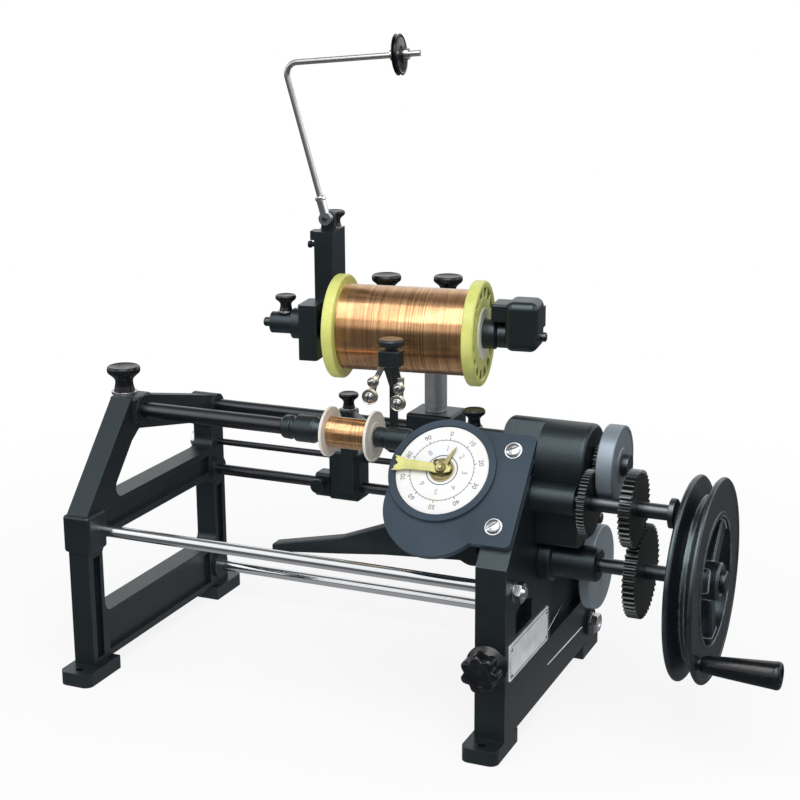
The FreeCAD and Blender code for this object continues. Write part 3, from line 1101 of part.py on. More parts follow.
def build_post():
    """Chrome post and the block that clamps it to the upper rear rod."""
    half = S.base_width / 2
    body = block("base_block", (S.post_x - half, S.post_x + half), (S.base_front, S.base_back),
                 (S.base_low, S.base_high))
    soft = rounded("base_soft", body, 3, lambda edge: True)
    bore = cylinder("base_rod_bore", S.upper_rod_radius + S.fit_gap, S.base_width + 4,
                    (S.post_x - half - 2, S.upper_rod_y, S.upper_rod_z), "X")
    spigot_hole = cylinder("base_spigot_hole", S.post_radius - 4 + S.fit_gap, 12,
                           (S.post_x, S.post_y, S.base_high - 8), "Z")
    node(cut("base_cut", soft, bore, spigot_hole), "post_base")
    reach = beam_high + S.post_overhang - S.base_high
    node(turned("post_turned", [
        (-7, 0), (-7, S.post_radius - 4), (0.1, S.post_radius - 4), (0.1, S.post_radius),
        (reach - 1.5, S.post_radius), (reach, S.post_radius - 1.5), (reach, 0)],
        (S.post_x, S.post_y, S.base_high), "Z"), "spool_post")


def on_stand(piece, x, y, z):
    """Place a piece by its local coordinates on the swivelling spool stand."""
    turn = Rotation(Vector(0, 0, 1), float(S.stand_yaw))
    x, y = as_size(x), as_size(y)
    world_x = S.post_x + x * cosine(S.stand_yaw) - y * sine(S.stand_yaw)
    world_y = S.post_y + x * sine(S.stand_yaw) + y * cosine(S.stand_yaw)
    inner = piece.Placement.Rotation
    return place(piece, world_x, world_y, z, turn * inner)


def stand_block(name, x_span, y_span, z_span):
    brick = doc.addObject("Part::Box", name)
    for prop, (low, high) in zip(("Length", "Width", "Height"), (x_span, y_span, z_span)):
        bind(brick, prop, as_size(high) - low)
    return on_stand(brick, x_span[0], y_span[0], z_span[0])


def stand_cylinder(name, radius, length, at, along="Z"):
    rod = cylinder(name, radius, length, (0, 0, 0), along)
    return on_stand(rod, *at)


def stand_turned(name, profile, at, along="X"):
    return on_stand(turned(name, profile, (0, 0, 0), along), *at)


def spool_left():
    return S.spool_shift - S.spool_length / 2


def spool_right():
    return S.spool_shift + S.spool_length / 2


def right_block_from():
    return spool_right() + S.cone_length + S.snout_length + 1


def holder_middle():
    return S.bracket_right - S.bracket_width - S.holder_length / 2 - 3


def build_beam():
    """Beam that swivels on the post, with a lug for its clamp knob and links to both brackets."""
    axis_y = -S.spool_reach
    back = S.beam_depth / 2
    beam_from = S.mast_right - S.bracket_width
    beam_to = right_block_from() + S.block_width - 9
    beam = stand_block("beam_bar", (beam_from, beam_to), (-back, back), (beam_low, beam_high))
    sleeve = stand_cylinder("beam_sleeve", S.beam_sleeve_radius, beam_high - beam_low + 10,
                            (0, 0, beam_low - 5))
    half = S.beam_lug_width / 2
    lug = stand_block("beam_lug", (S.beam_lug_x - half, S.beam_lug_x + half), (0, S.beam_lug_y + half),
                      (beam_low, beam_lug_high))
    lug_soft = rounded("beam_lug_soft", lug, half - 0.5, lambda edge: runs_along(edge, Vector(0, 0, 1))
                       and edge.CenterOfMass.y > float(S.post_y) + float(S.beam_lug_y))
    link = stand_block("right_link", (right_block_from() + 6, beam_to), (axis_y + S.block_depth / 2, back),
                       (beam_low, beam_high - 1))
    bore = stand_cylinder("sleeve_bore", S.post_radius + S.fit_gap, 60, (0, 0, beam_low - 20))
    knob_bores = [stand_cylinder(f"{side}_knob_bore", S.pin_radius + S.fit_gap, 10, (x, y, top - 6))
                  for side, x, y, top in (("left", S.beam_left_knob, 0, beam_high),
                                          ("right", S.beam_lug_x, S.beam_lug_y, beam_lug_high))]
    node(cut("beam_cut", fuse("beam_solid", beam, sleeve, lug_soft, link), bore, *knob_bores), "spool_beam")


def build_left_bracket():
    """Bearing block of the spool shaft, its long collar, and the mast that carries the tension arm."""
    axis_y = -S.spool_reach
    bracket_from = S.bracket_right - S.bracket_width
    bearing = stand_block("bracket_bearing", (bracket_from, S.bracket_right), (S.bracket_front, S.bracket_middle),
                          (S.spool_z - S.bracket_drop, S.spool_z + S.bracket_rise))
    bearing_soft = rounded("bracket_bearing_soft", bearing, 3, lambda edge: runs_along(edge, Vector(0, 0, 1)))
    mast = stand_block("bracket_mast", (S.mast_right - S.bracket_width, S.mast_right),
                       (S.mast_front, -S.beam_depth / 2), (S.spool_z - S.mast_drop, mast_top))
    mast_soft = rounded("bracket_mast_soft", mast, 1.5, lambda edge: runs_along(edge, Vector(0, 0, 1)))
    collar = stand_cylinder("holder_collar", S.holder_radius + 4, 9, (bracket_from + 1, axis_y, S.spool_z), "-X")
    holder = stand_cylinder("holder_barrel", S.holder_radius, S.holder_length + 4,
                            (bracket_from + 1, axis_y, S.spool_z), "-X")
    barrel_half = S.arm_barrel_length / 2
    lug = stand_block("arm_lug", (S.arm_foot_x - 6, S.arm_foot_x + 6),
                      (S.arm_foot_y + barrel_half + 0.4, S.arm_foot_y + barrel_half + 6),
                      (mast_top - 4, arm_z() + 6))
    lug_soft = rounded("arm_lug_soft", lug, 5, lambda edge: edge.CenterOfMass.z > float(arm_z()) + 5.9
                       and not runs_along(edge, Vector(float(cosine(S.stand_yaw)), float(sine(S.stand_yaw)), 0)))
    arm_pin = stand_cylinder("arm_pin", S.arm_pin_radius, S.arm_barrel_length + 4,
                             (S.arm_foot_x, S.arm_foot_y + barrel_half + 2, arm_z()), "-Y")
    ledge = stand_block("mast_ledge", (S.mast_right - S.bracket_width - 4, S.mast_right - S.bracket_width + 2),
                        (S.mast_front + 3, S.mast_front + 15), (mast_top - 8, mast_top))
    shaft_bore = stand_cylinder("left_shaft_bore", S.spool_shaft_radius + S.fit_gap, 90,
                                (S.bracket_right + 10, axis_y, S.spool_z), "-X")
    screw_bore = stand_cylinder("holder_screw_bore", S.pin_radius + S.fit_gap, 12,
                                (holder_middle(), axis_y, S.spool_z + S.spool_shaft_radius + 1), "Z")
    mast_bore = stand_cylinder("mast_screw_bore", S.pin_radius + S.fit_gap, 12,
                               (arm_screw_x(), arm_screw_y(), mast_top - 10), "Z")
    solid = fuse("left_bracket_solid", bearing_soft, mast_soft, collar, holder, lug_soft, arm_pin, ledge)
    node(cut("left_bracket_cut", solid, shaft_bore, screw_bore, mast_bore), "left_spool_bracket")


def build_right_bracket():
    """Rounded block at the beam's right end that carries the other end of the spool shaft."""
    axis_y = -S.spool_reach
    block_from = right_block_from()
    half = S.block_depth / 2
    low = S.spool_z - S.spool_shaft_radius - 7
    body = stand_block("right_body", (block_from, block_from + S.block_width),
                       (axis_y - half, axis_y + half - 0.1), (low, low + S.block_height))
    body_soft = rounded("right_body_soft", body, 7, lambda edge: True)
    hood = stand_block("right_hood", (block_from - 12, block_from + 8), (axis_y - half + 4, axis_y + half - 4),
                       (S.spool_z + 13, low + S.block_height - 3))
    hood_soft = rounded("right_hood_soft", hood, 2, lambda edge: True)
    snout = stand_cylinder("right_snout", S.snout_radius, S.snout_length + 2,
                           (block_from + 2, axis_y, S.spool_z), "-X")
    bore = stand_cylinder("right_shaft_bore", S.spool_shaft_radius + S.fit_gap, S.block_width + 30,
                          (block_from - 12, axis_y, S.spool_z), "X")
    node(cut("right_bracket_cut", fuse("right_bracket_solid", body_soft, hood_soft, snout), bore),
         "right_spool_bracket")


def arm_z():
    return mast_top + S.arm_lift


def arm_screw_x():
    return S.mast_right - S.bracket_width / 2 + S.arm_screw_shift


def arm_screw_y():
    return S.mast_front + S.arm_screw_inset


def stand_knob(label, at, scale):
    """A thumb knob that stands upright on the spool stand."""
    knob = thumb_knob(label, (0, 0, 0), "Z", scale)
    return on_stand(knob, *at)


def build_stand_knobs():
    """Beam knobs, and the screws that lock the spool shaft and the tension arm."""
    stand_knob("left_beam_knob", (S.beam_left_knob, 0, beam_high), 0.9)
    stand_knob("right_beam_knob", (S.beam_lug_x, S.beam_lug_y, beam_lug_high), 0.9)
    stand_knob("shaft_lock_screw", (holder_middle(), -S.spool_reach, S.spool_z + S.holder_radius), 0.62)
    stand_knob("arm_lock_screw", (arm_screw_x(), arm_screw_y(), mast_top), 0.62)


def build_spool():
    """Supply spool with its winding, on a shaft between two cones."""
    axis_y = -S.spool_reach
    centre = (S.spool_shift, axis_y, S.spool_z)
    half = S.spool_length / 2
    inner = half - S.spool_flange
    shaft_half = S.spool_shaft_length / 2
    node(stand_turned("spool_shaft_turned", [
        (-shaft_half, 0), (-shaft_half, S.spool_shaft_radius - 1), (-shaft_half + 1, S.spool_shaft_radius),
        (shaft_half - 1, S.spool_shaft_radius), (shaft_half, S.spool_shaft_radius - 1), (shaft_half, 0)],
        (S.spool_shaft_middle, axis_y, S.spool_z)), "spool_shaft")
    plug = S.spool_bore_radius - 0.3
    bore = S.spool_shaft_radius + S.fit_gap
    cones = []
    for side, facing in (("left", "X"), ("right", "-X")):
        start = -half - S.cone_length
        profile = [(start, bore), (start, S.cone_radius - 2), (start + 2, S.cone_radius),
                   (-half - 0.3, S.cone_radius), (-half - 0.3, plug), (-half + 10, plug - 1), (-half + 10, bore)]
        cones.append(stand_turned(f"{side}_cone", profile, centre, facing))
    node(group("cone_pair", *cones), "spool_cones")
    rim = S.spool_radius - S.spool_rim
    core = S.spool_core_radius
    web_at = inner + S.spool_web
    node(stand_turned("spool_turned", [
        (-half, rim), (-half, S.spool_radius - 1), (-half + 1, S.spool_radius), (-inner - 1, S.spool_radius),
        (-inner, S.spool_radius - 1), (-inner, core), (inner, core), (inner, S.spool_radius - 1),
        (inner + 1, S.spool_radius), (half - 1, S.spool_radius), (half, S.spool_radius - 1), (half, rim),
        (web_at, rim), (web_at, core), (half, core), (half, S.spool_bore_radius),
        (-half, S.spool_bore_radius), (-half, core), (-web_at, core), (-web_at, rim)], centre), "supply_spool")
    wound = inner - 0.1
    node(stand_turned("spool_wound", [
        (-wound, core + S.fit_gap), (-wound, S.spool_wound_radius),
        (wound, S.spool_wound_radius), (wound, core + S.fit_gap)], centre), "supply_winding")


def build_tension_arm():
    """Bent wire arm with its barrel, and the grooved pulley near its tip."""
    tilt = Rotation(Vector(0, 1, 0), -float(S.arm_tilt))
    along_cos = cosine(S.arm_tilt)
    along_sin = sine(S.arm_tilt)
    dip_cos = cosine(S.arm_dip)
    dip_sin = sine(S.arm_dip)
    half_turn = (90 + S.arm_dip) / 2
    setback = S.arm_bend * sine(half_turn) / cosine(half_turn)
    bend_up = S.arm_height - setback
    into_reach = Rotation(Vector(0, 1, 0), 90 + float(S.arm_dip))

    def lay(piece, across, up, turn):
        """Put a piece at a place measured along the tilted arm's own directions."""
        x = S.arm_foot_x + across * along_cos - up * along_sin
        z = arm_z() + across * along_sin + up * along_cos
        piece.Placement = FreeCAD.Placement(Vector(), tilt * turn)
        return on_stand(piece, x, S.arm_foot_y, z)

    def on_reach(piece, distance, turn):
        """Put a piece on the arm's upper leg, at a distance from the corner of its two legs."""
        return lay(piece, distance * dip_cos, S.arm_height - distance * dip_sin, turn)

    rise = cylinder("arm_rise", S.arm_radius, bend_up - 3, (0, 0, 0))
    lay(rise, as_size(0), as_size(3), Rotation())
    bend = doc.addObject("Part::Torus", "arm_bend_ring")
    bind(bend, "Radius1", S.arm_bend)
    bind(bend, "Radius2", S.arm_radius)
    bind(bend, "Angle3", 90 + S.arm_dip)
    lay(bend, S.arm_bend, bend_up,
        Rotation(Vector(1, 0, 0), 90) * Rotation(Vector(0, 0, 1), 90 - float(S.arm_dip)))
    reach = cylinder("arm_reach_rod", S.arm_radius, S.arm_reach - setback + S.arm_tip, (0, 0, 0))
    on_reach(reach, setback, into_reach)
    pulley_half = S.pulley_width / 2
    stop = cylinder("arm_stop", S.arm_radius + 2, 3, (0, 0, 0))
    on_reach(stop, S.arm_reach - pulley_half - 3.4, into_reach)
    nut = cylinder("arm_end_nut", S.arm_radius + 2.2, 4, (0, 0, 0))
    on_reach(nut, S.arm_reach + pulley_half + 0.4, into_reach)
    barrel_half = S.arm_barrel_length / 2
    barrel = stand_cylinder("arm_barrel", S.arm_barrel_radius, S.arm_barrel_length,
                            (S.arm_foot_x, S.arm_foot_y + barrel_half, arm_z()), "-Y")
    hole = stand_cylinder("arm_barrel_hole", S.arm_pin_radius + S.fit_gap, 20,
                          (S.arm_foot_x, S.arm_foot_y + 10, arm_z()), "-Y")
    node(cut("arm_cut", fuse("arm_solid", rise, bend, reach, stop, nut, barrel), hole), "tension_arm")

    bore = S.arm_radius + S.fit_gap
    edge = S.pulley_radius
    pulley = turned("pulley_turned", [
        (-pulley_half, bore), (-pulley_half, 7), (-pulley_half + 1.5, 8), (-pulley_half + 1.5, edge - 1),
        (-pulley_half + 2.5, edge), (-0.6, edge - 3.5), (0.6, edge - 3.5), (pulley_half - 2.5, edge),
        (pulley_half - 1.5, edge - 1), (pulley_half - 1.5, 8), (pulley_half, 7), (pulley_half, bore)], (0, 0, 0))
    node(on_reach(pulley, S.arm_reach, Rotation(Vector(0, 1, 0), float(S.arm_dip))), "tension_pulley")


def build_all():
    build_left_frame()
    build_right_frame()
    build_rods()
    build_rod_nuts()
    build_housing()
    build_crank_bearing()
    build_gears()
    build_shafts()
    build_handwheel()
    build_handle()
    build_bobbin()
    build_knobs()
    build_star_knob()
    build_dial()
    build_nameplate()
    build_lever()
    build_carriage()
    build_guide_arm()
    build_rod_clamp()
    build_post()
    build_beam()
    build_left_bracket()
    build_right_bracket()
    build_stand_knobs()
    build_spool()
    build_tension_arm()


def check_and_write():
    """Recompute, check every object and shape, then write one file per sub-part."""
    doc.recompute()
    failed = [item.Name for item in doc.Objects if "Invalid" in item.State or "Error" in item.State]
    if failed:
        raise RuntimeError(f"objects that failed: {failed}")
    for item in NODES:
        if item.Shape.isNull() or not item.Shape.isValid():
            raise RuntimeError(f"{item.Label} has no valid shape")
    os.makedirs("parts", exist_ok=True)
    for item in NODES:
        item.Shape.exportStep(f"parts/{item.Label}.step")
        print(f"{item.Label}: {len(item.Shape.Solids)} solids, {item.Shape.Volume / 1000:.2f} cm3")


build_all()
check_and_write()
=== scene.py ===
"""Looks of a hand-cranked wire coil winding machine, in metres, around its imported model.

+X runs along the rods towards the crank handle, +Y away from the dial's side, +Z up.
"""

import json
import logging
import math
from collections.abc import Callable, Iterable, Mapping, Sequence
from dataclasses import dataclass
from enum import Enum
from typing import Any

import bmesh
import bpy
from mathutils import Matrix, Vector

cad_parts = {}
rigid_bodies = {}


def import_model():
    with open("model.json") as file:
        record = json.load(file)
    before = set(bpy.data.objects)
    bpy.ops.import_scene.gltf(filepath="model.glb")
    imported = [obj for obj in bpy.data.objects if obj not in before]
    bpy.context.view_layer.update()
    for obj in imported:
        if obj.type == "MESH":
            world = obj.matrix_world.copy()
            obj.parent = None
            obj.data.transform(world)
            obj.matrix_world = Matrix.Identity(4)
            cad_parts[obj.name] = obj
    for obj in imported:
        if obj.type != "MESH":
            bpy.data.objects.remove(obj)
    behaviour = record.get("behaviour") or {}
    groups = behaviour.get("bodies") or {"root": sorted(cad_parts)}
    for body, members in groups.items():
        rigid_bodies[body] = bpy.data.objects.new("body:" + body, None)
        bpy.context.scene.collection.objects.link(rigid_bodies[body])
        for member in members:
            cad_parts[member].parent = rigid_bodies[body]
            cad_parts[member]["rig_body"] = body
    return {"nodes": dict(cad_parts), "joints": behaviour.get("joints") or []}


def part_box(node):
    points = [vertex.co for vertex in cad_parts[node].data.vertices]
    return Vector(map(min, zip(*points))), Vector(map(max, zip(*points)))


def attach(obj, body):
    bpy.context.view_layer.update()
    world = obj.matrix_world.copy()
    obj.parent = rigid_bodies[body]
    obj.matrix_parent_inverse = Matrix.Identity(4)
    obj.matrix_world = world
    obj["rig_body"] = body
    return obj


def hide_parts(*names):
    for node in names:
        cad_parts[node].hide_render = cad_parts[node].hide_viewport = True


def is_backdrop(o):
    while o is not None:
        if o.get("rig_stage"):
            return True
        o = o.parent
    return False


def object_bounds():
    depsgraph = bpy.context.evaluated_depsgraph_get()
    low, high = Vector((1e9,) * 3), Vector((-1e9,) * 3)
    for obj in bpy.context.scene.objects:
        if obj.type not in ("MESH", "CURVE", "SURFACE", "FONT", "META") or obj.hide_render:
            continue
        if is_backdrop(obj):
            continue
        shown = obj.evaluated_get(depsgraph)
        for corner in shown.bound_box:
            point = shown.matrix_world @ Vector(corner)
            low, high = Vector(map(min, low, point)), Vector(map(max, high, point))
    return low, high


log = logging.getLogger("coil_winder")

Colour = tuple[float, float, float]
Profile = list[tuple[float, float]]
Outline = list[tuple[float, float]]
Place = tuple[float, float, float]
Shape = Callable[[float, float, float], float]
Piece = bpy.types.Object

MM = 0.001
SHARP_EDGE = math.radians(38)
FLAT_ENOUGH = math.radians(0.6)
WELD_GAP = 0.00001
X_AXIS = Vector((1, 0, 0))
Y_AXIS = Vector((0, 1, 0))
Z_AXIS = Vector((0, 0, 1))


class Slot(Enum):
    """The record's material slots."""

    FRAME = "frame_paint"
    STAND = "stand_paint"
    DIAL_PLATE = "dial_paint"
    WHEEL = "wheel_paint"
    DARK_STEEL = "dark_steel"
    BRIGHT_STEEL = "bright_steel"
    NICKEL = "wheel_nickel"
    KNOB = "knob_black"
    SILVER = "name_silver"
    DIAL = "dial_white"
    BRASS = "hand_brass"
    CREAM = "bobbin_cream"
    LIME = "spool_lime"
    COPPER = "wire_copper"


@dataclass(frozen=True)
class Signal:
    """One shader value that takes part in Python arithmetic."""

    bench: "ShaderBench"
    socket: bpy.types.NodeSocket

    def __add__(self, other: "Signal | float") -> "Signal":
        """Sum of two values."""
        return self.bench.math("ADD", self, other)

    def __radd__(self, other: float) -> "Signal":
        """Sum with a plain number on the left."""
        return self.bench.math("ADD", other, self)

    def __sub__(self, other: "Signal | float") -> "Signal":
        """Difference of two values."""
        return self.bench.math("SUBTRACT", self, other)

    def __rsub__(self, other: float) -> "Signal":
        """A plain number less this value."""
        return self.bench.math("SUBTRACT", other, self)

    def __mul__(self, other: "Signal | float") -> "Signal":
        """Product of two values."""
        return self.bench.math("MULTIPLY", self, other)

    def __rmul__(self, other: float) -> "Signal":
        """Product with a plain number on the left."""
        return self.bench.math("MULTIPLY", other, self)

    def __pow__(self, power: float) -> "Signal":
        """This value raised to a power."""
        return self.bench.math("POWER", self, power)

    def ramp(self, low: float, high: float, to_low: float = 0.0, to_high: float = 1.0) -> "Signal":
        """Smooth, clamped change from one range of numbers to another.

        Args:
            low: The value that gives to_low.
            high: The value that gives to_high.
            to_low: The result at and below low.
            to_high: The result at and above high.

        Returns:
            The remapped value.
        """
        return self.bench.node("ShaderNodeMapRange", {"interpolation_type": "SMOOTHSTEP"}, {
            "Value": self, "From Min": low, "From Max": high, "To Min": to_low, "To Max": to_high})


class ShaderBench:
    """Makes the nodes of one material or world."""

    def __init__(self, tree: bpy.types.NodeTree) -> None:
        """Start from an empty node tree."""
        self.tree = tree
        tree.nodes.clear()

    def node(self, kind: str, settings: Mapping[str, Any] | None = None,
             inputs: Mapping[str | int, Any] | None = None, output: str | int = 0) -> Signal:
        """Make a node of any type.

        Args:
            kind: The node's type name.
            settings: Its properties, and "stops" for a ramp's (position, colour) pairs.
            inputs: Values or links for its sockets, by name or number.
            output: The output socket that is handed back.

        Returns:
            The chosen output as a value.
        """
        made = self.tree.nodes.new(kind)
        for key, value in (settings or {}).items():
            if key == "stops":
                self._set_stops(made.color_ramp, value)
            else:
                setattr(made, key, value)
        for key, value in (inputs or {}).items():
            if isinstance(value, Signal):
                self.tree.links.new(value.socket, made.inputs[key])
            else:
                made.inputs[key].default_value = value
        return Signal(self, made.outputs[output] if made.outputs else None)

    @staticmethod
    def _set_stops(ramp: bpy.types.ColorRamp, stops: Sequence[tuple[float, Colour]]) -> None:
        """Give a ramp its stops in order."""
        while len(ramp.elements) < len(stops):
            ramp.elements.new(0.5)
        for element, (position, colour) in zip(ramp.elements, stops):
            element.position = position
            element.color = (*colour, 1)

    def math(self, operation: str, first: Signal | float, second: Signal | float) -> Signal:
        """One Math node on two values."""
        return self.node("ShaderNodeMath", {"operation": operation}, {0: first, 1: second})

    def mix(self, factor: Signal | float, low: Signal | Colour, high: Signal | Colour) -> Signal:
        """Mix two colours by a factor.

        Args:
            factor: 0 gives low and 1 gives high.
            low: The first colour.
            high: The second colour.

        Returns:
            The mixed colour.
        """
        made = self.tree.nodes.new("ShaderNodeMix")
        made.data_type = "RGBA"
        for name, value in (("Factor_Float", factor), ("A_Color", low), ("B_Color", high)):
            socket = next(item for item in made.inputs if item.identifier == name)
            if isinstance(value, Signal):
                self.tree.links.new(value.socket, socket)
            else:
                socket.default_value = (*value, 1) if name != "Factor_Float" else value
        return Signal(self, next(item for item in made.outputs if item.identifier == "Result_Color"))

    def coordinates(self, scale: tuple[float, float, float]) -> Signal:
        """The piece's own coordinates, stretched along each axis."""
        place = self.node("ShaderNodeTexCoord", output="Object")
        return self.node("ShaderNodeVectorMath", {"operation": "MULTIPLY"}, {0: place, 1: scale})

    def noise(self, scale: float, detail: float = 2.0,
              stretch: tuple[float, float, float] = (1, 1, 1), at: Signal | None = None) -> Signal:
        """Fractal noise over the piece, from 0 to 1."""
        where = at or self.coordinates(stretch)
        return self.node("ShaderNodeTexNoise", inputs={"Vector": where, "Scale": scale, "Detail": detail})

    def turned_noise(self, scale: float, detail: float = 2.0) -> Signal:
        """Fine rings round the piece's own X axis, as a lathe tool leaves them."""
        place = self.node("ShaderNodeTexCoord", output="Object")
        parts = self.node("ShaderNodeSeparateXYZ", inputs={"Vector": place})
        names = ("X", "Y", "Z")
        x, y, z = (Signal(self, parts.socket.node.outputs[name]) for name in names)
        radius = (y * y + z * z) ** 0.5
        where = self.node("ShaderNodeCombineXYZ", inputs={"X": x, "Y": radius})
        return self.noise(scale, detail, at=where)

    def worn_edges(self, low: float = 0.52, high: float = 0.62) -> Signal:
        """A mask that is 1 on the sharpest outer edges."""
        pointed = self.node("ShaderNodeNewGeometry", output="Pointiness")
        return pointed.ramp(low, high)

    def sharp_edges(self, radius: float = 0.0011) -> Signal:
        """A mask that is 1 on edges, whatever the mesh, from a rounded copy of the normal."""
        rounded = self.node("ShaderNodeBevel", {"samples": 4}, {"Radius": radius})
        straight = self.node("ShaderNodeNewGeometry", output="Normal")
        alike = self.node("ShaderNodeVectorMath", {"operation": "DOT_PRODUCT"},
                          {0: rounded, 1: straight}, "Value")
        return (1 - alike).ramp(0.02, 0.16)

    def bump(self, height: Signal, distance: float, strength: float = 1.0) -> Signal:
        """A normal roughened by a height."""
        return self.node("ShaderNodeBump", inputs={
            "Height": height, "Distance": distance, "Strength": strength})

    def surface(self, constants: Mapping[str, Any], links: Mapping[str, Signal]) -> None:
        """Finish the tree with one Principled shader.

        Args:
            constants: Numbers and colours that are the same all over.
            links: Values that change over the surface.
        """
        shader = self.node("ShaderNodeBsdfPrincipled", inputs={**constants, **links})
        self.node("ShaderNodeOutputMaterial", inputs={"Surface": shader})


@dataclass(frozen=True)
class Finish:
    """A procedural finish. Each kind overrides shade()."""

    name: str
    colour: Colour
    roughness: float

    def material(self) -> bpy.types.Material:
        """The finish as a material, made once."""
        label = f"{self.name}_finish"
        made = bpy.data.materials.get(label)
        if made is None:
            made = bpy.data.materials.new(label)
            made.use_nodes = True
            self.shade(ShaderBench(made.node_tree))
            made.diffuse_color = (*self.colour, 1)
        return made

    def shade(self, bench: ShaderBench) -> None:
        """Build the node tree."""
        raise NotImplementedError


@dataclass(frozen=True)
class CastPaint(Finish):
    """Stoved paint over a casting: fine orange peel, uneven gloss, and lighter edges that are partly rubbed
    paint and partly a painted highlight.
    """

    worn: Colour = (0.07, 0.082, 0.095)
    wear: float = 0.5
    grain: float = 700.0
    depth: float = 0.00012
    specular: float = 0.3
    edge: float = 0.0011

    def shade(self, bench: ShaderBench) -> None:
        """Paint that varies slowly in tone, with a grained surface."""
        clouds = bench.noise(18, 3)
        specks = bench.noise(self.grain, 2)
        dark = tuple(channel * 0.82 for channel in self.colour)
        light = tuple(channel * 1.22 for channel in self.colour)
        tone = bench.mix(clouds.ramp(0.3, 0.7), dark, light)
        # Lighter colour on the sharp edges: partly rubbed paint, partly a painted highlight where the edges
        # catch the light.
        edges = bench.sharp_edges(self.edge) * bench.noise(60, 3).ramp(0.3, 0.6) * self.wear
        colour = bench.mix(edges, tone, self.worn)
        rough = self.roughness + (clouds - 0.5) * 0.08 + (specks - 0.5) * 0.1
        peel = specks + bench.noise(self.grain * 0.35, 1) * 1.4
        bench.surface({"Specular IOR Level": self.specular, "Specular Tint": (0.74, 0.92, 1.0, 1)}, {
            "Base Color": colour, "Roughness": rough, "Normal": bench.bump(peel, self.depth, 0.6)})


@dataclass(frozen=True)
class MouldedBlack(Finish):
    """Glossy thermoset moulding with faint scuffs."""

    specular: float = 0.4

    def shade(self, bench: ShaderBench) -> None:
        """Near-black gloss with duller, rubbed places."""
        scuffs = bench.noise(140, 4).ramp(0.45, 0.75)
        pale = tuple(channel * 1.8 + 0.004 for channel in self.colour)
        rubbed = bench.worn_edges(0.53, 0.66) * 0.5
        colour = bench.mix(scuffs * 0.4 + rubbed, self.colour, pale)
        waves = bench.noise(90, 2)
        bench.surface(
            {"Specular IOR Level": self.specular},
            {"Base Color": colour, "Roughness": self.roughness + scuffs * 0.14,
             "Normal": bench.bump(waves, 0.0001, 0.4)})


@dataclass(frozen=True)
class TurnedMetal(Finish):
    """Metal with fine lathe rings round the piece's own X axis."""

    rings: float = 3200.0
    depth: float = 0.00002
    metallic: float = 1.0
    stain: Colour = (0.03, 0.03, 0.03)
    stained: float = 0.2

    def shade(self, bench: ShaderBench) -> None:
        """Rings in the gloss and the surface, and a faint uneven stain."""
        rings = bench.turned_noise(self.rings, 3)
        stain = bench.noise(45, 4).ramp(0.45, 0.8) * self.stained
        colour = bench.mix(stain, self.colour, self.stain)
        rough = self.roughness + (rings - 0.5) * 0.18 + stain * 0.3
        bench.surface({"Metallic": self.metallic}, {
            "Base Color": colour, "Roughness": rough, "Normal": bench.bump(rings, self.depth, 0.5)})


@dataclass(frozen=True)
class CutMetal(Finish):
    """Milled or stamped metal with an even fine grain and bright edges."""

    bright: Colour = (0.42, 0.43, 0.45)
    wear: float = 0.6
    metallic: float = 1.0
    grain: tuple[float, float, float] = (1, 1, 1)

    def shade(self, bench: ShaderBench) -> None:
        """Fine grain with lighter, rubbed edges."""
        grain = bench.noise(1500, 3, stretch=self.grain)
        patches = bench.noise(70, 4)
        edges = bench.worn_edges(0.515, 0.6) * self.wear
        dark = tuple(channel * 0.75 for channel in self.colour)
        tone = bench.mix(patches.ramp(0.35, 0.7), dark, self.colour)
        colour = bench.mix(edges, tone, self.bright)
        rough = self.roughness + (grain - 0.5) * 0.2 + (patches - 0.5) * 0.15
        bench.surface({"Metallic": self.metallic}, {
            "Base Color": colour, "Roughness": rough, "Normal": bench.bump(grain, 0.00003, 0.5)})


@dataclass(frozen=True)
class MouldedPlastic(Finish):
    """Slightly translucent coloured plastic with fine flow marks."""

    shade_colour: Colour = (0.3, 0.3, 0.2)

    def shade(self, bench: ShaderBench) -> None:
        """Plastic with a soft change of tone and painted shade in its hollows."""
        flow = bench.noise(55, 3)
        # Concave places are darkened toward the shade colour: painted shade in the hollows.
        painted_hollow_shade = 1 - bench.node("ShaderNodeNewGeometry", output="Pointiness").ramp(0.44, 0.5)
        tone = bench.mix(flow.ramp(0.3, 0.75) * 0.3, self.colour, self.shade_colour)
        colour = bench.mix(painted_hollow_shade * 0.6, tone, self.shade_colour)
        bench.surface(
            {"Subsurface Weight": 0.06, "Subsurface Radius": (0.002, 0.002, 0.001),
             "Coat Weight": 0.15, "Coat Roughness": 0.2},
            {"Base Color": colour, "Roughness": self.roughness + (flow - 0.5) * 0.2,
             "Normal": bench.bump(bench.noise(800, 2), 0.00004, 0.4)})


@dataclass(frozen=True)
class EnamelledWire(Finish):
    """Close turns of enamelled copper wire round the piece's own X axis."""

    light: Colour = (0.86, 0.58, 0.27)
    dark: Colour = (0.28, 0.11, 0.055)

    def shade(self, bench: ShaderBench) -> None:
        """Each turn gets a tone between lit and shaded copper, partly real variation and partly painted
        glints and shade, and wide bands are darker.
        """
        turns = bench.noise(1, 2, stretch=(900, 16, 16))
        bands = bench.noise(1, 3, stretch=(160, 9, 9))
        # The light and dark colours are lit and shaded copies of the copper: painted glints and shade,
        # scattered turn by turn.
        tone = bench.mix(turns.ramp(0.36, 0.62), self.dark, self.light)
        colour = bench.mix(bands.ramp(0.3, 0.7, 0.15, 0.5), self.colour, tone)
        bench.surface({"Metallic": 0.92, "Coat Roughness": 0.08, "Coat Weight": 0.2}, {
            "Base Color": colour, "Roughness": self.roughness + (turns - 0.5) * 0.1})


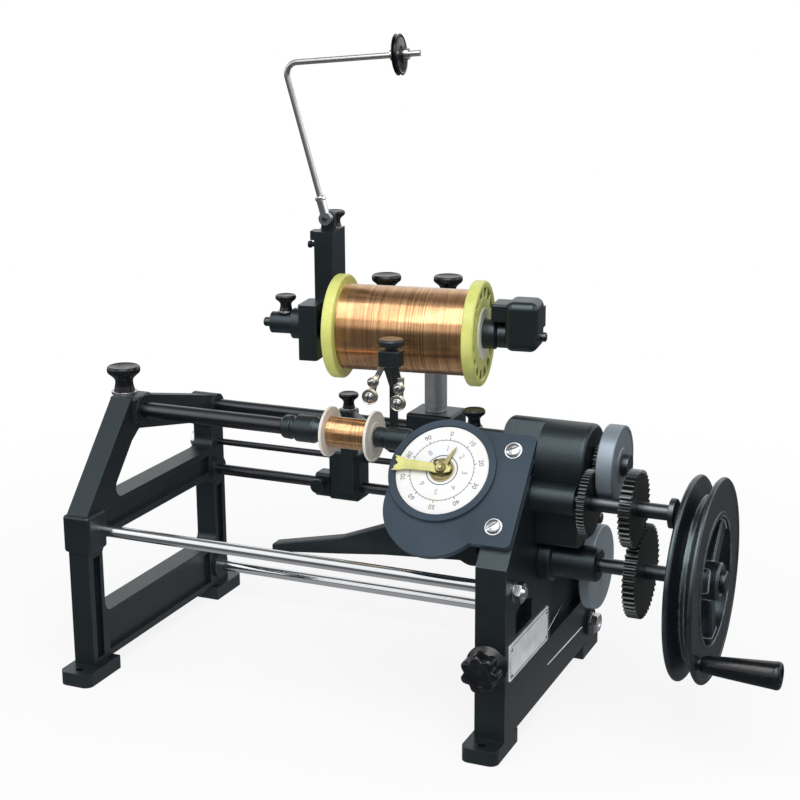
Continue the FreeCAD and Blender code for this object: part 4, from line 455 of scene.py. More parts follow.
@dataclass(frozen=True)
class DialEnamel(Finish):
    """White printed dial enamel, faintly and unevenly yellowed."""

    aged: Colour = (0.86, 0.84, 0.76)

    def shade(self, bench: ShaderBench) -> None:
        """Clean white with soft ageing."""
        age = bench.noise(90, 3).ramp(0.35, 0.75)
        bench.surface({"Coat Weight": 0.2, "Coat Roughness": 0.2}, {
            "Base Color": bench.mix(age * 0.6, self.colour, self.aged),
            "Roughness": self.roughness + age * 0.1})


@dataclass(frozen=True)
class Ink(Finish):
    """Thin printed ink with uneven cover."""

    def shade(self, bench: ShaderBench) -> None:
        """Ink that is a little worn."""
        thin = bench.noise(900, 2).ramp(0.5, 0.75)
        pale = tuple(0.5 + channel * 0.5 for channel in self.colour)
        bench.surface({"Specular IOR Level": 0.3}, {
            "Base Color": bench.mix(thin * 0.35, self.colour, pale),
            "Roughness": self.roughness + thin * 0.1})


FRAME_PAINT = CastPaint("frame_paint", (0.0080, 0.0105, 0.0125), 0.38, worn=(0.12, 0.14, 0.16), wear=0.3,
                        specular=0.62)
STAND_PAINT = CastPaint("stand_paint", (0.0080, 0.0105, 0.0130), 0.34, worn=(0.12, 0.14, 0.16), wear=0.25,
                        grain=900, depth=0.00008, specular=0.72)
# Much lighter and bluer than the frame paint: painted light on the plate's upturned face.
DIAL_PLATE_LIT_PAINT = CastPaint("dial_paint", (0.037, 0.053, 0.073), 0.5, worn=(0.09, 0.11, 0.14), grain=1100,
                       depth=0.00005, specular=0.25)
# The wheel's pale edge colour, at full strength over a wide edge, is a painted glint along the rim's edges.
WHEEL_PAINT = CastPaint("wheel_paint", (0.010, 0.012, 0.0155), 0.27, worn=(0.62, 0.64, 0.67), wear=1.0,
                        grain=1400, depth=0.00003, specular=0.9, edge=0.0018)
KNOB_BLACK = MouldedBlack("knob_black", (0.005, 0.006, 0.008), 0.2, specular=0.45)
CHROME = TurnedMetal("chrome", (0.84, 0.86, 0.88), 0.1, rings=900, depth=0.000008, stained=0.08,
                     stain=(0.3, 0.3, 0.3))
DARK_STEEL = TurnedMetal("dark_steel", (0.10, 0.11, 0.12), 0.32, stained=0.4)
BLACK_ROD = TurnedMetal("black_rod", (0.085, 0.09, 0.10), 0.28, stained=0.4)
ARM_STEEL = TurnedMetal("arm_steel", (0.55, 0.56, 0.56), 0.28, rings=900, stained=0.3)
GEAR_STEEL = CutMetal("gear_steel", (0.075, 0.085, 0.085), 0.4, bright=(0.34, 0.36, 0.36), wear=0.5)
DISC_STEEL = TurnedMetal("disc_steel", (0.25, 0.30, 0.345), 0.42, metallic=0.45, stained=0.3,
                         stain=(0.09, 0.09, 0.10))
POST_STEEL = TurnedMetal("post_steel", (0.64, 0.68, 0.73), 0.25, rings=9000, depth=0.000008, metallic=0.6,
                         stained=0.1, stain=(0.3, 0.3, 0.3))
NICKEL = CutMetal("nickel", (0.80, 0.77, 0.66), 0.2, bright=(0.95, 0.94, 0.86), wear=0.8)
NUT_STEEL = CutMetal("nut_steel", (0.62, 0.63, 0.65), 0.24, bright=(0.92, 0.92, 0.94), wear=0.8)
SILVER = CutMetal("name_silver", (0.86, 0.89, 0.93), 0.4, bright=(0.9, 0.92, 0.95), wear=0.3,
                  metallic=0.0, grain=(1, 0.08, 1))
DIAL_WHITE = DialEnamel("dial_white", (0.87, 0.88, 0.90), 0.35)
DIAL_INK = Ink("dial_ink", (0.05, 0.05, 0.07), 0.5)
PALE_INK = Ink("pale_ink", (0.30, 0.27, 0.42), 0.5)
BRASS = CutMetal("hand_brass", (0.66, 0.64, 0.22), 0.36, bright=(0.85, 0.82, 0.5), wear=0.4, metallic=0.3)
HUB_BRASS = CutMetal("hub_brass", (0.26, 0.23, 0.11), 0.34, bright=(0.62, 0.56, 0.32), wear=0.7)
CREAM = MouldedPlastic("bobbin_cream", (0.86, 0.82, 0.75), 0.4, shade_colour=(0.6, 0.53, 0.44))
LIME = MouldedPlastic("spool_lime", (0.78, 0.80, 0.23), 0.36, shade_colour=(0.30, 0.36, 0.05))
# A dark lime that paints the shade on the sunk floor between the spool's ribs.
LIME_PAINTED_SHADE = MouldedPlastic("spool_lime_painted_shade", (0.10, 0.13, 0.03), 0.5, shade_colour=(0.02, 0.03, 0.01))
HUB_PALE = MouldedPlastic("hub_pale", (0.80, 0.83, 0.68), 0.45, shade_colour=(0.45, 0.47, 0.3))
COPPER = EnamelledWire("wire_copper", (0.62, 0.34, 0.17), 0.15)


@dataclass(frozen=True)
class Line:
    """A point and a direction, such as a shaft's centre line."""

    point: Vector
    direction: Vector


@dataclass(frozen=True)
class Span:
    """How far a node reaches along a line and away from it."""

    low: float
    high: float
    radius: float

    @property
    def length(self) -> float:
        """The reach along the line."""
        return self.high - self.low


class Machine:
    """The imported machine: its nodes, joints and their measures."""

    def __init__(self) -> None:
        """Load the frame."""
        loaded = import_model()
        self.nodes: dict[str, Piece] = loaded["nodes"]
        self.joints: dict[str, dict[str, Any]] = {item["name"]: item for item in loaded["joints"]}
        self.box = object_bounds()
        self.dressed: list[str] = []

    def joint_line(self, joint: str) -> Line:
        """The axis of a joint."""
        item = self.joints[joint]
        return Line(Vector(item["pos_m"]), Vector(item["axis"]).normalized())

    def centre_line(self, node: str, direction: Vector) -> Line:
        """A line through the middle of a node's box."""
        low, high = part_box(node)
        return Line((low + high) / 2, direction)

    def span(self, node: str, line: Line) -> Span:
        """Measure a node along a line.

        Args:
            node: The CAD node's name.
            line: The line that the reach is measured along.

        Returns:
            The lowest and highest place along the line, and the greatest distance from it.
        """
        along: list[float] = []
        away: list[float] = []
        for vertex in self.nodes[node].data.vertices:
            offset = vertex.co - line.point
            reach = offset.dot(line.direction)
            along.append(reach)
            away.append((offset - line.direction * reach).length)
        return Span(min(along), max(along), max(away))

    def dress_node(self, node: str, finish: Finish, bevel: float = 0.0006) -> Piece:
        """Keep a CAD node, soften its edges and give it its finish.

        Args:
            node: The CAD node's name.
            finish: The finish that it gets.
            bevel: The width of the softened edges, or 0 for none.

        Returns:
            The node's object.
        """
        piece = self.nodes[node]
        piece.data.materials.clear()
        piece.data.materials.append(finish.material())
        if bevel:
            weld = piece.modifiers.new("weld", "WELD")
            weld.merge_threshold = WELD_GAP
            flat = piece.modifiers.new("flat", "DECIMATE")
            flat.decimate_type = "DISSOLVE"
            flat.angle_limit = FLAT_ENOUGH
            soften(piece, bevel)
        self.dressed.append(node)
        log.info("kept %s with finish %s", node, finish.name)
        return piece

    def add_piece(self, piece: Piece, finish: Finish, like: str,
                  replaces: Sequence[str] = ()) -> Piece:
        """Give a new piece its finish and body.

        Args:
            piece: The new object, in place.
            finish: The finish that it gets.
            like: The CAD node whose body it rides on.
            replaces: The CAD nodes that it stands for.

        Returns:
            The same object.
        """
        piece.data.materials.clear()
        piece.data.materials.append(finish.material())
        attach(piece, self.nodes[like]["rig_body"])
        if replaces:
            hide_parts(*replaces)
            self.dressed.extend(replaces)
        log.info("added %s on %s", piece.name, like)
        return piece

    def turn(self, name: str, profile: Profile, line: Line, finish: Finish, slot: Slot, like: str,
             replaces: Sequence[str] = (), **form: Any) -> Piece:
        """Turn a profile into a finished piece.

        Args:
            name: The new object's name.
            profile: Its profile, as lathe() takes it.
            line: The axis.
            finish: The finish that it gets.
            slot: The record's slot that the finish stands for; not used.
            like: The CAD node whose body it rides on.
            replaces: The CAD nodes that it stands for.
            form: Further settings of lathe().

        Returns:
            The new object.
        """
        return self.add_piece(lathe(name, profile, line, **form), finish, like, replaces)

    def check_all_dressed(self) -> None:
        """Report any CAD node that has no finish yet."""
        for node in sorted(set(self.nodes) - set(self.dressed)):
            log.warning("node %s has no finish", node)


def weigh_normals(piece: Piece) -> None:
    """Let the large faces of a piece set the shading beside its rounded edges."""
    piece.modifiers.new("weighted", "WEIGHTED_NORMAL").keep_sharp = True


def soften(piece: Piece, width: float, segments: int = 2, angle: float = 32.0) -> None:
    """Round the sharp edges of a piece.

    Args:
        piece: The object.
        width: The bevel's width.
        segments: Steps across the bevel.
        angle: Edges sharper than this many degrees are rounded.
    """
    bevel = piece.modifiers.new("bevel", "BEVEL")
    bevel.width = width
    bevel.segments = segments
    bevel.limit_method = "ANGLE"
    bevel.angle_limit = math.radians(angle)
    bevel.use_clamp_overlap = True
    bevel.miter_outer = "MITER_ARC"
    weigh_normals(piece)


def new_piece(name: str, vertices: Sequence[Sequence[float]], faces: Sequence[Sequence[int]]) -> Piece:
    """Make a smooth-shaded mesh object.

    Args:
        name: The object's name.
        vertices: Its points.
        faces: Its faces as lists of point numbers.

    Returns:
        The new object, linked to the scene.
    """
    mesh = bpy.data.meshes.new(name)
    mesh.from_pydata([tuple(v) for v in vertices], [], [tuple(f) for f in faces])
    mesh.validate()
    tidy = bmesh.new()
    tidy.from_mesh(mesh)
    bmesh.ops.recalc_face_normals(tidy, faces=tidy.faces)
    tidy.to_mesh(mesh)
    tidy.free()
    mesh.shade_smooth()
    piece = bpy.data.objects.new(name, mesh)
    bpy.context.scene.collection.objects.link(piece)
    return piece


def round_corners(profile: Profile, radius: float, closed: bool, steps: int = 3) -> Profile:
    """Replace each sharp corner of a profile by a short curve.

    Args:
        profile: The corners as (distance along the axis, radius).
        radius: The size of each curve, less where a side is short.
        closed: True if the last corner joins the first.
        steps: Points on each curve, less one.

    Returns:
        The rounded profile.
    """
    made: Profile = []
    count = len(profile)
    for index, corner in enumerate(profile):
        if not closed and index in (0, count - 1):
            made.append(corner)
            continue
        here = Vector(corner)
        before = Vector(profile[index - 1]) - here
        after = Vector(profile[(index + 1) % count]) - here
        reach = min(radius, before.length * 0.45, after.length * 0.45)
        start = here + before.normalized() * reach
        end = here + after.normalized() * reach
        for step in range(steps + 1):
            t = step / steps
            point = start * (1 - t) ** 2 + here * 2 * t * (1 - t) + end * t ** 2
            made.append((point.x, point.y))
    return made


def on_axis(piece: Piece, line: Line) -> Piece:
    """Lay a piece's own X axis on a line, with its origin at the line's point."""
    turn = X_AXIS.rotation_difference(line.direction).to_matrix().to_4x4()
    piece.matrix_world = Matrix.Translation(line.point) @ turn
    return piece


def spin_faces(rings: int, segments: int, closed: bool) -> list[tuple[int, ...]]:
    """Quads between rings of equal size.

    Args:
        rings: How many rings there are.
        segments: Points on each ring.
        closed: True if the last ring joins the first.

    Returns:
        The faces.
    """
    faces = []
    for ring in range(rings if closed else rings - 1):
        low = ring * segments
        high = (ring + 1) % rings * segments
        for step in range(segments):
            after = (step + 1) % segments
            faces.append((low + step, low + after, high + after, high + step))
    return faces


def lathe(name: str, profile: Profile, line: Line, segments: int = 96, soft: float = 0.0006,
          closed: bool = False, shape: Shape | None = None) -> Piece:
    """Turn a profile round a line.

    Args:
        name: The object's name.
        profile: Corners as (distance along the line, radius). An open profile is capped at both ends.
        line: The axis. Its point is the profile's zero.
        segments: Steps round the axis.
        soft: The size of the rounding at each corner, or 0 for none.
        closed: True for a ring or a sleeve, whose last corner joins the first.
        shape: Changes a radius, given the distance along the line, the radius and the angle.

    Returns:
        The new object.
    """
    points = round_corners(profile, soft, closed) if soft else list(profile)
    vertices = []
    for along, radius in points:
        for step in range(segments):
            angle = 2 * math.pi * step / segments
            reach = shape(along, radius, angle) if shape else radius
            vertices.append((along, reach * math.cos(angle), reach * math.sin(angle)))
    faces = spin_faces(len(points), segments, closed)
    if not closed:
        for ring in (0, len(points) - 1):
            hub = len(vertices)
            vertices.append((points[ring][0], 0, 0))
            for step in range(segments):
                faces.append((ring * segments + step, ring * segments + (step + 1) % segments, hub))
    piece = on_axis(new_piece(name, vertices, faces), line)
    piece.data.set_sharp_from_angle(angle=SHARP_EDGE)
    weigh_normals(piece)
    return piece


def tube(name: str, path: Sequence[Vector], radius: float, segments: int = 24) -> Piece:
    """Sweep a circle along a path.

    Args:
        name: The object's name.
        path: The centre line's points.
        radius: The tube's radius.
        segments: Steps round the tube.

    Returns:
        The new object.
    """
    vertices: list[Vector] = []
    side = None
    for index, point in enumerate(path):
        ahead = path[min(index + 1, len(path) - 1)] - path[max(index - 1, 0)]
        ahead.normalize()
        if side is None:
            side = ahead.orthogonal().normalized()
        side = (side - ahead * side.dot(ahead)).normalized()
        across = ahead.cross(side)
        for step in range(segments):
            angle = 2 * math.pi * step / segments
            vertices.append(point + (side * math.cos(angle) + across * math.sin(angle)) * radius)
    faces = spin_faces(len(path), segments, False)
    faces.append(tuple(range(segments)))
    faces.append(tuple(range(len(vertices) - segments, len(vertices))))
    return new_piece(name, vertices, faces)


def rectangle(half_x: float, half_y: float) -> Outline:
    """The corners of a rectangle about zero."""
    return [(-half_x, -half_y), (half_x, -half_y), (half_x, half_y), (-half_x, half_y)]


def plate(name: str, outline: Outline, thickness: float, bevel: float = 0.0) -> Piece:
    """A flat piece in its own XY plane, from Z 0 up.

    Args:
        name: The object's name.
        outline: Its corners in order.
        thickness: Its height.
        bevel: The width of its softened edges, or 0 for none.

    Returns:
        The new object.
    """
    count = len(outline)
    vertices = [(x, y, z) for z in (0, thickness) for x, y in outline]
    faces: list[tuple[int, ...]] = [tuple(reversed(range(count))), tuple(range(count, 2 * count))]
    for step in range(count):
        after = (step + 1) % count
        faces.append((step, after, count + after, count + step))
    piece = new_piece(name, vertices, faces)
    piece.data.set_sharp_from_angle(angle=SHARP_EDGE)
    if bevel:
        soften(piece, bevel)
    return piece


def join(pieces: Iterable[Piece], name: str) -> Piece:
    """Bake several pieces, with their modifiers and places, into one object.

    Args:
        pieces: The objects, which are removed.
        name: The joined object's name.

    Returns:
        The joined object, at the origin.
    """
    bpy.context.view_layer.update()
    graph = bpy.context.evaluated_depsgraph_get()
    whole = bmesh.new()
    parts = list(pieces)
    for piece in parts:
        shaped = piece.evaluated_get(graph)
        mesh = shaped.to_mesh()
        mesh.transform(piece.matrix_world)
        whole.from_mesh(mesh)
        shaped.to_mesh_clear()
    mesh = bpy.data.meshes.new(name)
    whole.to_mesh(mesh)
    whole.free()
    for piece in parts:
        bpy.data.objects.remove(piece)
    mesh.shade_smooth()
    mesh.set_sharp_from_angle(angle=SHARP_EDGE)
    joined = bpy.data.objects.new(name, mesh)
    bpy.context.scene.collection.objects.link(joined)
    weigh_normals(joined)
    return joined


def carve(piece: Piece, cutter: Piece) -> Piece:
    """Cut one piece out of another and remove the cutter."""
    boolean = piece.modifiers.new("carve", "BOOLEAN")
    boolean.operation = "DIFFERENCE"
    boolean.object = cutter
    boolean.solver = "EXACT"
    name = piece.name
    piece.name = f"{name}_blank"
    carved = join([piece], name)
    bpy.data.objects.remove(cutter)
    return carved


def seat(line: Line, height: float = 0.0, across: Vector = X_AXIS) -> Matrix:
    """A frame that stands on a line.

    Args:
        line: The line that the frame's Z follows.
        height: How far along the line it stands.
        across: The direction that its X keeps nearest to.

    Returns:
        The frame.
    """
    x = (across - line.direction * across.dot(line.direction)).normalized()
    frame = Matrix((x, line.direction.cross(x), line.direction)).transposed().to_4x4()
    frame.translation = line.point + line.direction * height
    return frame


def at_place(x: float, y: float, turn: float = 0.0) -> Matrix:
    """A step of x and y followed by a turn about Z, in radians."""
    return Matrix.Translation((x, y, 0)) @ Matrix.Rotation(turn, 4, "Z")


def hex_nut(name: str, line: Line, start: float, height: float, across: float, bore: float) -> Piece:
    """A hexagon nut with chamfered corners.

    Args:
        name: The object's name.
        line: The nut's axis.
        start: Where it begins along the line.
        height: Its thickness.
        across: Its width over flats.
        bore: The radius of its hole.

    Returns:
        The new object.
    """
    apothem = across / 2
    chamfer = across * 0.06

    def shape(along: float, radius: float, angle: float) -> float:
        """Flats round the outside, cut back by a cone at both ends."""
        if radius < apothem:
            return radius
        flat = apothem / math.cos(angle % (math.pi / 3) - math.pi / 6)
        end = min(along - start, start + height - along)
        return min(flat, apothem * 0.98 + end * 1.75)

    steps = [chamfer * part for part in (0, 0.25, 0.5, 0.75, 1)]
    rising = [(start + step, across) for step in steps]
    falling = [(start + height - step, across) for step in reversed(steps)]
    profile = [(start, bore), *rising, *falling, (start + height, bore)]
    return lathe(name, profile, line, soft=0, closed=True, shape=shape)


def thread(pitch: float, depth: float, ranges: Sequence[tuple[float, float]]) -> Shape:
    """A screw thread over some stretches of a bar, as a shape for lathe().

    Args:
        pitch: The distance from one turn to the next.
        depth: The depth of the thread.
        ranges: The stretches that carry the thread.

    Returns:
        The shape.
    """
    def shape(along: float, radius: float, angle: float) -> float:
        """Cut the helix where the bar is threaded."""
        if not any(low < along < high for low, high in ranges):
            return radius
        return radius - depth * (0.5 - 0.5 * math.cos(2 * math.pi * along / pitch - angle))

    return shape


def wound(name: str, line: Line, low: float, high: float, core: float, radius: float,
          wire: float) -> Piece:
    """Close turns of wire round a core.

    Args:
        name: The object's name.
        line: The axis.
        low: Where the winding begins along the line.
        high: Where it ends.
        core: The radius under it.
        radius: The radius over it.
        wire: The wire's thickness.

    Returns:
        The new object.
    """
    per_turn = 5
    count = int((high - low) / wire * per_turn)

    def shape(along: float, reach: float, angle: float) -> float:
        """Round ridges that climb by one wire in each turn, in slightly uneven layers."""
        if reach <= core or along in (low, high):
            return reach
        phase = (along / wire + angle / (2 * math.pi)) % 1 - 0.5
        ridge = math.sqrt(max(0.0, 0.25 - phase * phase)) - 0.5
        layer = math.sin(along / wire * 0.37) * math.sin(along / wire * 0.11 + angle)
        return reach + wire * (ridge * 0.5 + layer * 0.06 - 0.06)

    profile = [(low, core)] + [(low + (high - low) * step / count, radius) for step in range(count + 1)]
    return lathe(name, profile + [(high, core)], line, segments=72, soft=0, closed=True, shape=shape)


def numeral(text: str, height: float, thickness: float) -> Piece:
    """A plain number as a thin mesh in its own XY plane.

    Args:
        text: The number.
        height: The height of its figures.
        thickness: How far they stand up.

    Returns:
        The new object.
    """
    words = bpy.data.curves.new(f"figure_{text}", "FONT")
    words.body = text
    words.size = height * 1.4
    words.align_x = "CENTER"
    words.align_y = "CENTER"
    words.extrude = thickness / 2
    words.resolution_u = 4
    label = bpy.data.objects.new(f"figure_{text}", words)
    bpy.context.scene.collection.objects.link(label)
    bpy.context.view_layer.update()
    mesh = bpy.data.meshes.new_from_object(label)
    bpy.data.objects.remove(label)
    figure = bpy.data.objects.new(f"figure_{text}", mesh)
    bpy.context.scene.collection.objects.link(figure)
    return figure


def slotted_head(name: str, frame: Matrix, radius: float, height: float, slot: float) -> Piece:
    """A domed screw head with a driver slot.

    Args:
        name: The object's name.
        frame: Where its underside lies, with Z along the screw.
        radius: The head's radius.
        height: Its height.
        slot: The slot's direction in the head's plane, in radians.

    Returns:
        The new object.
    """
    crown = [(height * (0.35 + 0.65 * math.sin(a)), radius * math.cos(a))
             for a in (math.pi / 2 * step / 8 for step in range(8))]
    profile = [(0, radius * 0.96), *crown, (height, radius * 0.05)]
    dome = lathe("dome", profile, Line(Vector(), Z_AXIS), segments=64, soft=0)
    groove = plate("groove", rectangle(radius * 2, radius * 0.13), height)
    groove.matrix_world = Matrix.Rotation(slot, 4, "Z") @ Matrix.Translation((0, 0, height * 0.55))
    dome.name = name
    head = carve(dome, groove)
    head.matrix_world = frame
    return head


@dataclass
class EndFrames:
    """Both cast end frames and the parts bolted to them."""

    casting_bevel: float = 1.1 * MM
    machined_bevel: float = 0.5 * MM
    rivet_radius: float = 1.7 * MM
    rivet_inset: float = 4.5 * MM
    border_inset: float = 2.2 * MM
    border_width: float = 0.6 * MM
    border_height: float = 0.05 * MM
    # Ends of the bright rib-edge strips: partly rubbed paint, partly a painted highlight.
    rubbed: tuple[tuple[float, float, float, float], ...] = (
        (-0.022, 0.065, 0.022, 0.076), (-0.015, 0.036, 0.080, 0.033))
    rubbed_radius: float = 0.6 * MM

    def build(self, machine: Machine) -> None:
        """Dress the castings, the lever and the nameplate."""
        for node in ("left_end_frame", "right_end_frame", "feed_lever", "spindle_housing"):
            machine.dress_node(node, FRAME_PAINT, self.casting_bevel)
        machine.dress_node("crank_bearing", FRAME_PAINT, self.machined_bevel)
        machine.dress_node("nameplate", SILVER, self.machined_bevel / 2)
        self.nameplate(machine)
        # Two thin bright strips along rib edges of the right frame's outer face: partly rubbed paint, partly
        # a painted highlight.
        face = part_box("nameplate")[0].x
        edges = [tube(f"rubbed_{number}", [Vector((face, y, z)), Vector((face, far_y, far_z))],
                      self.rubbed_radius, 12)
                 for number, (y, z, far_y, far_z) in enumerate(self.rubbed)]
        machine.add_piece(join(edges, "rubbed_and_highlit_ribs"), NUT_STEEL, "right_end_frame")

    def nameplate(self, machine: Machine) -> None:
        """Rivets in the plate's corners and a line round its bare face."""
        low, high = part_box("nameplate")
        line = Line(Vector((high.x, (low.y + high.y) / 2, (low.z + high.z) / 2)), X_AXIS)
        reach_y = (high.y - low.y) / 2 - self.rivet_inset
        reach_z = (high.z - low.z) / 2 - self.rivet_inset
        rivets = []
        for side in (-1, 1):
            for end in (-1, 1):
                at = Line(line.point + Vector((0, side * reach_y, end * reach_z)), X_AXIS)
                head = [(0, self.rivet_radius), (0.3 * MM, self.rivet_radius),
                        (0.8 * MM, self.rivet_radius * 0.55), (0.9 * MM, self.rivet_radius * 0.1)]
                rivets.append(lathe(f"rivet_{side}_{end}", head, at, segments=32, soft=0.2 * MM))
        machine.add_piece(join(rivets, "nameplate_rivets"), NUT_STEEL, "nameplate")
        half_y = (high.y - low.y) / 2 - self.border_inset
        half_z = (high.z - low.z) / 2 - self.border_inset
        frame = seat(line, 0, Y_AXIS)
        bars = []
        for number, (width, height, y, z) in enumerate((
                (half_y, self.border_width / 2, 0, half_z), (half_y, self.border_width / 2, 0, -half_z),
                (self.border_width / 2, half_z, half_y, 0), (self.border_width / 2, half_z, -half_y, 0))):
            bar = plate(f"border_{number}", rectangle(width, height), self.border_height)
            bar.matrix_world = frame @ at_place(y, z)
            bars.append(bar)
        machine.add_piece(join(bars, "nameplate_border"), DIAL_INK, "nameplate")


@dataclass
class TieRods:
    """The rods between the end frames with their nuts."""

    thread_pitch: float = 1.25 * MM
    thread_depth: float = 0.5 * MM
    thread_length: float = 12.0 * MM
    chamfer: float = 1.0 * MM
    across_flats: float = 15.0 * MM
    washer: float = 1.0 * MM

    def build(self, machine: Machine) -> None:
        """Turn every rod and its two nuts."""
        rods = {"front_tie_rod": CHROME, "rear_tie_rod": CHROME, "guide_rod": BLACK_ROD,
                "carriage_rod": BLACK_ROD, "upper_rear_rod": BLACK_ROD}
        nuts = []
        for node, finish in rods.items():
            line = machine.centre_line(node, X_AXIS)
            self.rod(machine, node, line, finish)
            nuts.extend(self.nuts(machine, node, line))
        machine.add_piece(join(nuts, "rod_nuts"), NUT_STEEL, "tie_rod_nuts",
                          ["tie_rod_nuts"])

    def rod(self, machine: Machine, node: str, line: Line, finish: Finish) -> None:
        """One round bar with threaded, chamfered ends."""
        span = machine.span(node, line)
        per_turn = 6
        steps = int(self.thread_length / self.thread_pitch * per_turn)
        cut = [step * self.thread_pitch / per_turn for step in range(steps)]
        left = [(span.low + self.chamfer + step, span.radius) for step in cut]
        right = [(span.high - self.chamfer - step, span.radius) for step in reversed(cut)]
        profile = [(span.low, span.radius - self.chamfer), *left, *right,
                   (span.high, span.radius - self.chamfer)]
        ends = [(span.low, left[-1][0]), (right[0][0], span.high)]
        bar = lathe(f"{node}_bar", profile, line, segments=64, soft=0,
                    shape=thread(self.thread_pitch, self.thread_depth, ends))
        machine.add_piece(bar, finish, node, [node])

    def nuts(self, machine: Machine, node: str, line: Line) -> list[Piece]:
        """The nut and the washer at each end of a rod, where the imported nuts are."""
        radius = machine.span(node, line).radius
        made = []
        for side in (-1, 1):
            near = [vertex.co.x - line.point.x for vertex in machine.nodes["tie_rod_nuts"].data.vertices
                    if (vertex.co - line.point).cross(X_AXIS).length < self.across_flats * 0.6
                    and (vertex.co.x - line.point.x) * side > 0]
            low, high = min(near), max(near)
            seat_at = low if side > 0 else high - self.washer
            nut_from = low + self.washer if side > 0 else low
            made.append(hex_nut(f"{node}_nut_{side}", line, nut_from, high - low - self.washer,
                                self.across_flats, radius))
            rim = self.across_flats * 0.56
            made.append(lathe(f"{node}_washer_{side}", [
                (seat_at, radius), (seat_at, rim), (seat_at + self.washer, rim),
                (seat_at + self.washer, radius)],
                line, segments=64, soft=0.2 * MM, closed=True))
        return made


@dataclass
class Drive:
    """Gears, shafts and discs."""

    gear_bevel: float = 0.25 * MM
    shaft_bevel: float = 0.4 * MM
    disc_bore: float = 6.05 * MM
    disc_rim: float = 3.0 * MM
    disc_boss: float = 0.42
    disc_recess: float = 0.7 * MM

    def build(self, machine: Machine) -> None:
        """Dress the gears, the shafts and the traverse disc, and turn the spindle disc."""
        for node in ("crank_gear", "layshaft_pinion", "layshaft_wheel", "spindle_pinion"):
            machine.dress_node(node, GEAR_STEEL, self.gear_bevel)
        for node in ("crank_shaft", "layshaft", "spindle_shaft"):
            machine.dress_node(node, DARK_STEEL, self.shaft_bevel)
        self.disc(machine, "spindle_disc", "spindle_spin")
        machine.dress_node("traverse_disc", DISC_STEEL, self.shaft_bevel)

    def disc(self, machine: Machine, node: str, joint: str) -> None:
        """A faced disc with a shallow turned recess on each side."""
        line = machine.joint_line(joint)
        span = machine.span(node, line)
        bore = self.disc_bore
        lip = span.radius - self.disc_rim
        boss = span.radius * self.disc_boss
        depth = self.disc_recess
        profile = [
            (span.low, bore), (span.low, boss), (span.low + depth, boss + depth), (span.low + depth, lip),
            (span.low, lip + depth), (span.low, span.radius - depth), (span.low + depth, span.radius),
            (span.high - depth, span.radius), (span.high, span.radius - depth), (span.high, lip + depth),
            (span.high - depth, lip), (span.high - depth, boss + depth), (span.high, boss), (span.high, bore)]
        machine.turn(f"{node}_turned", profile, line, DISC_STEEL, Slot.DARK_STEEL, node, [node],
                     soft=0.25 * MM, closed=True, segments=128)


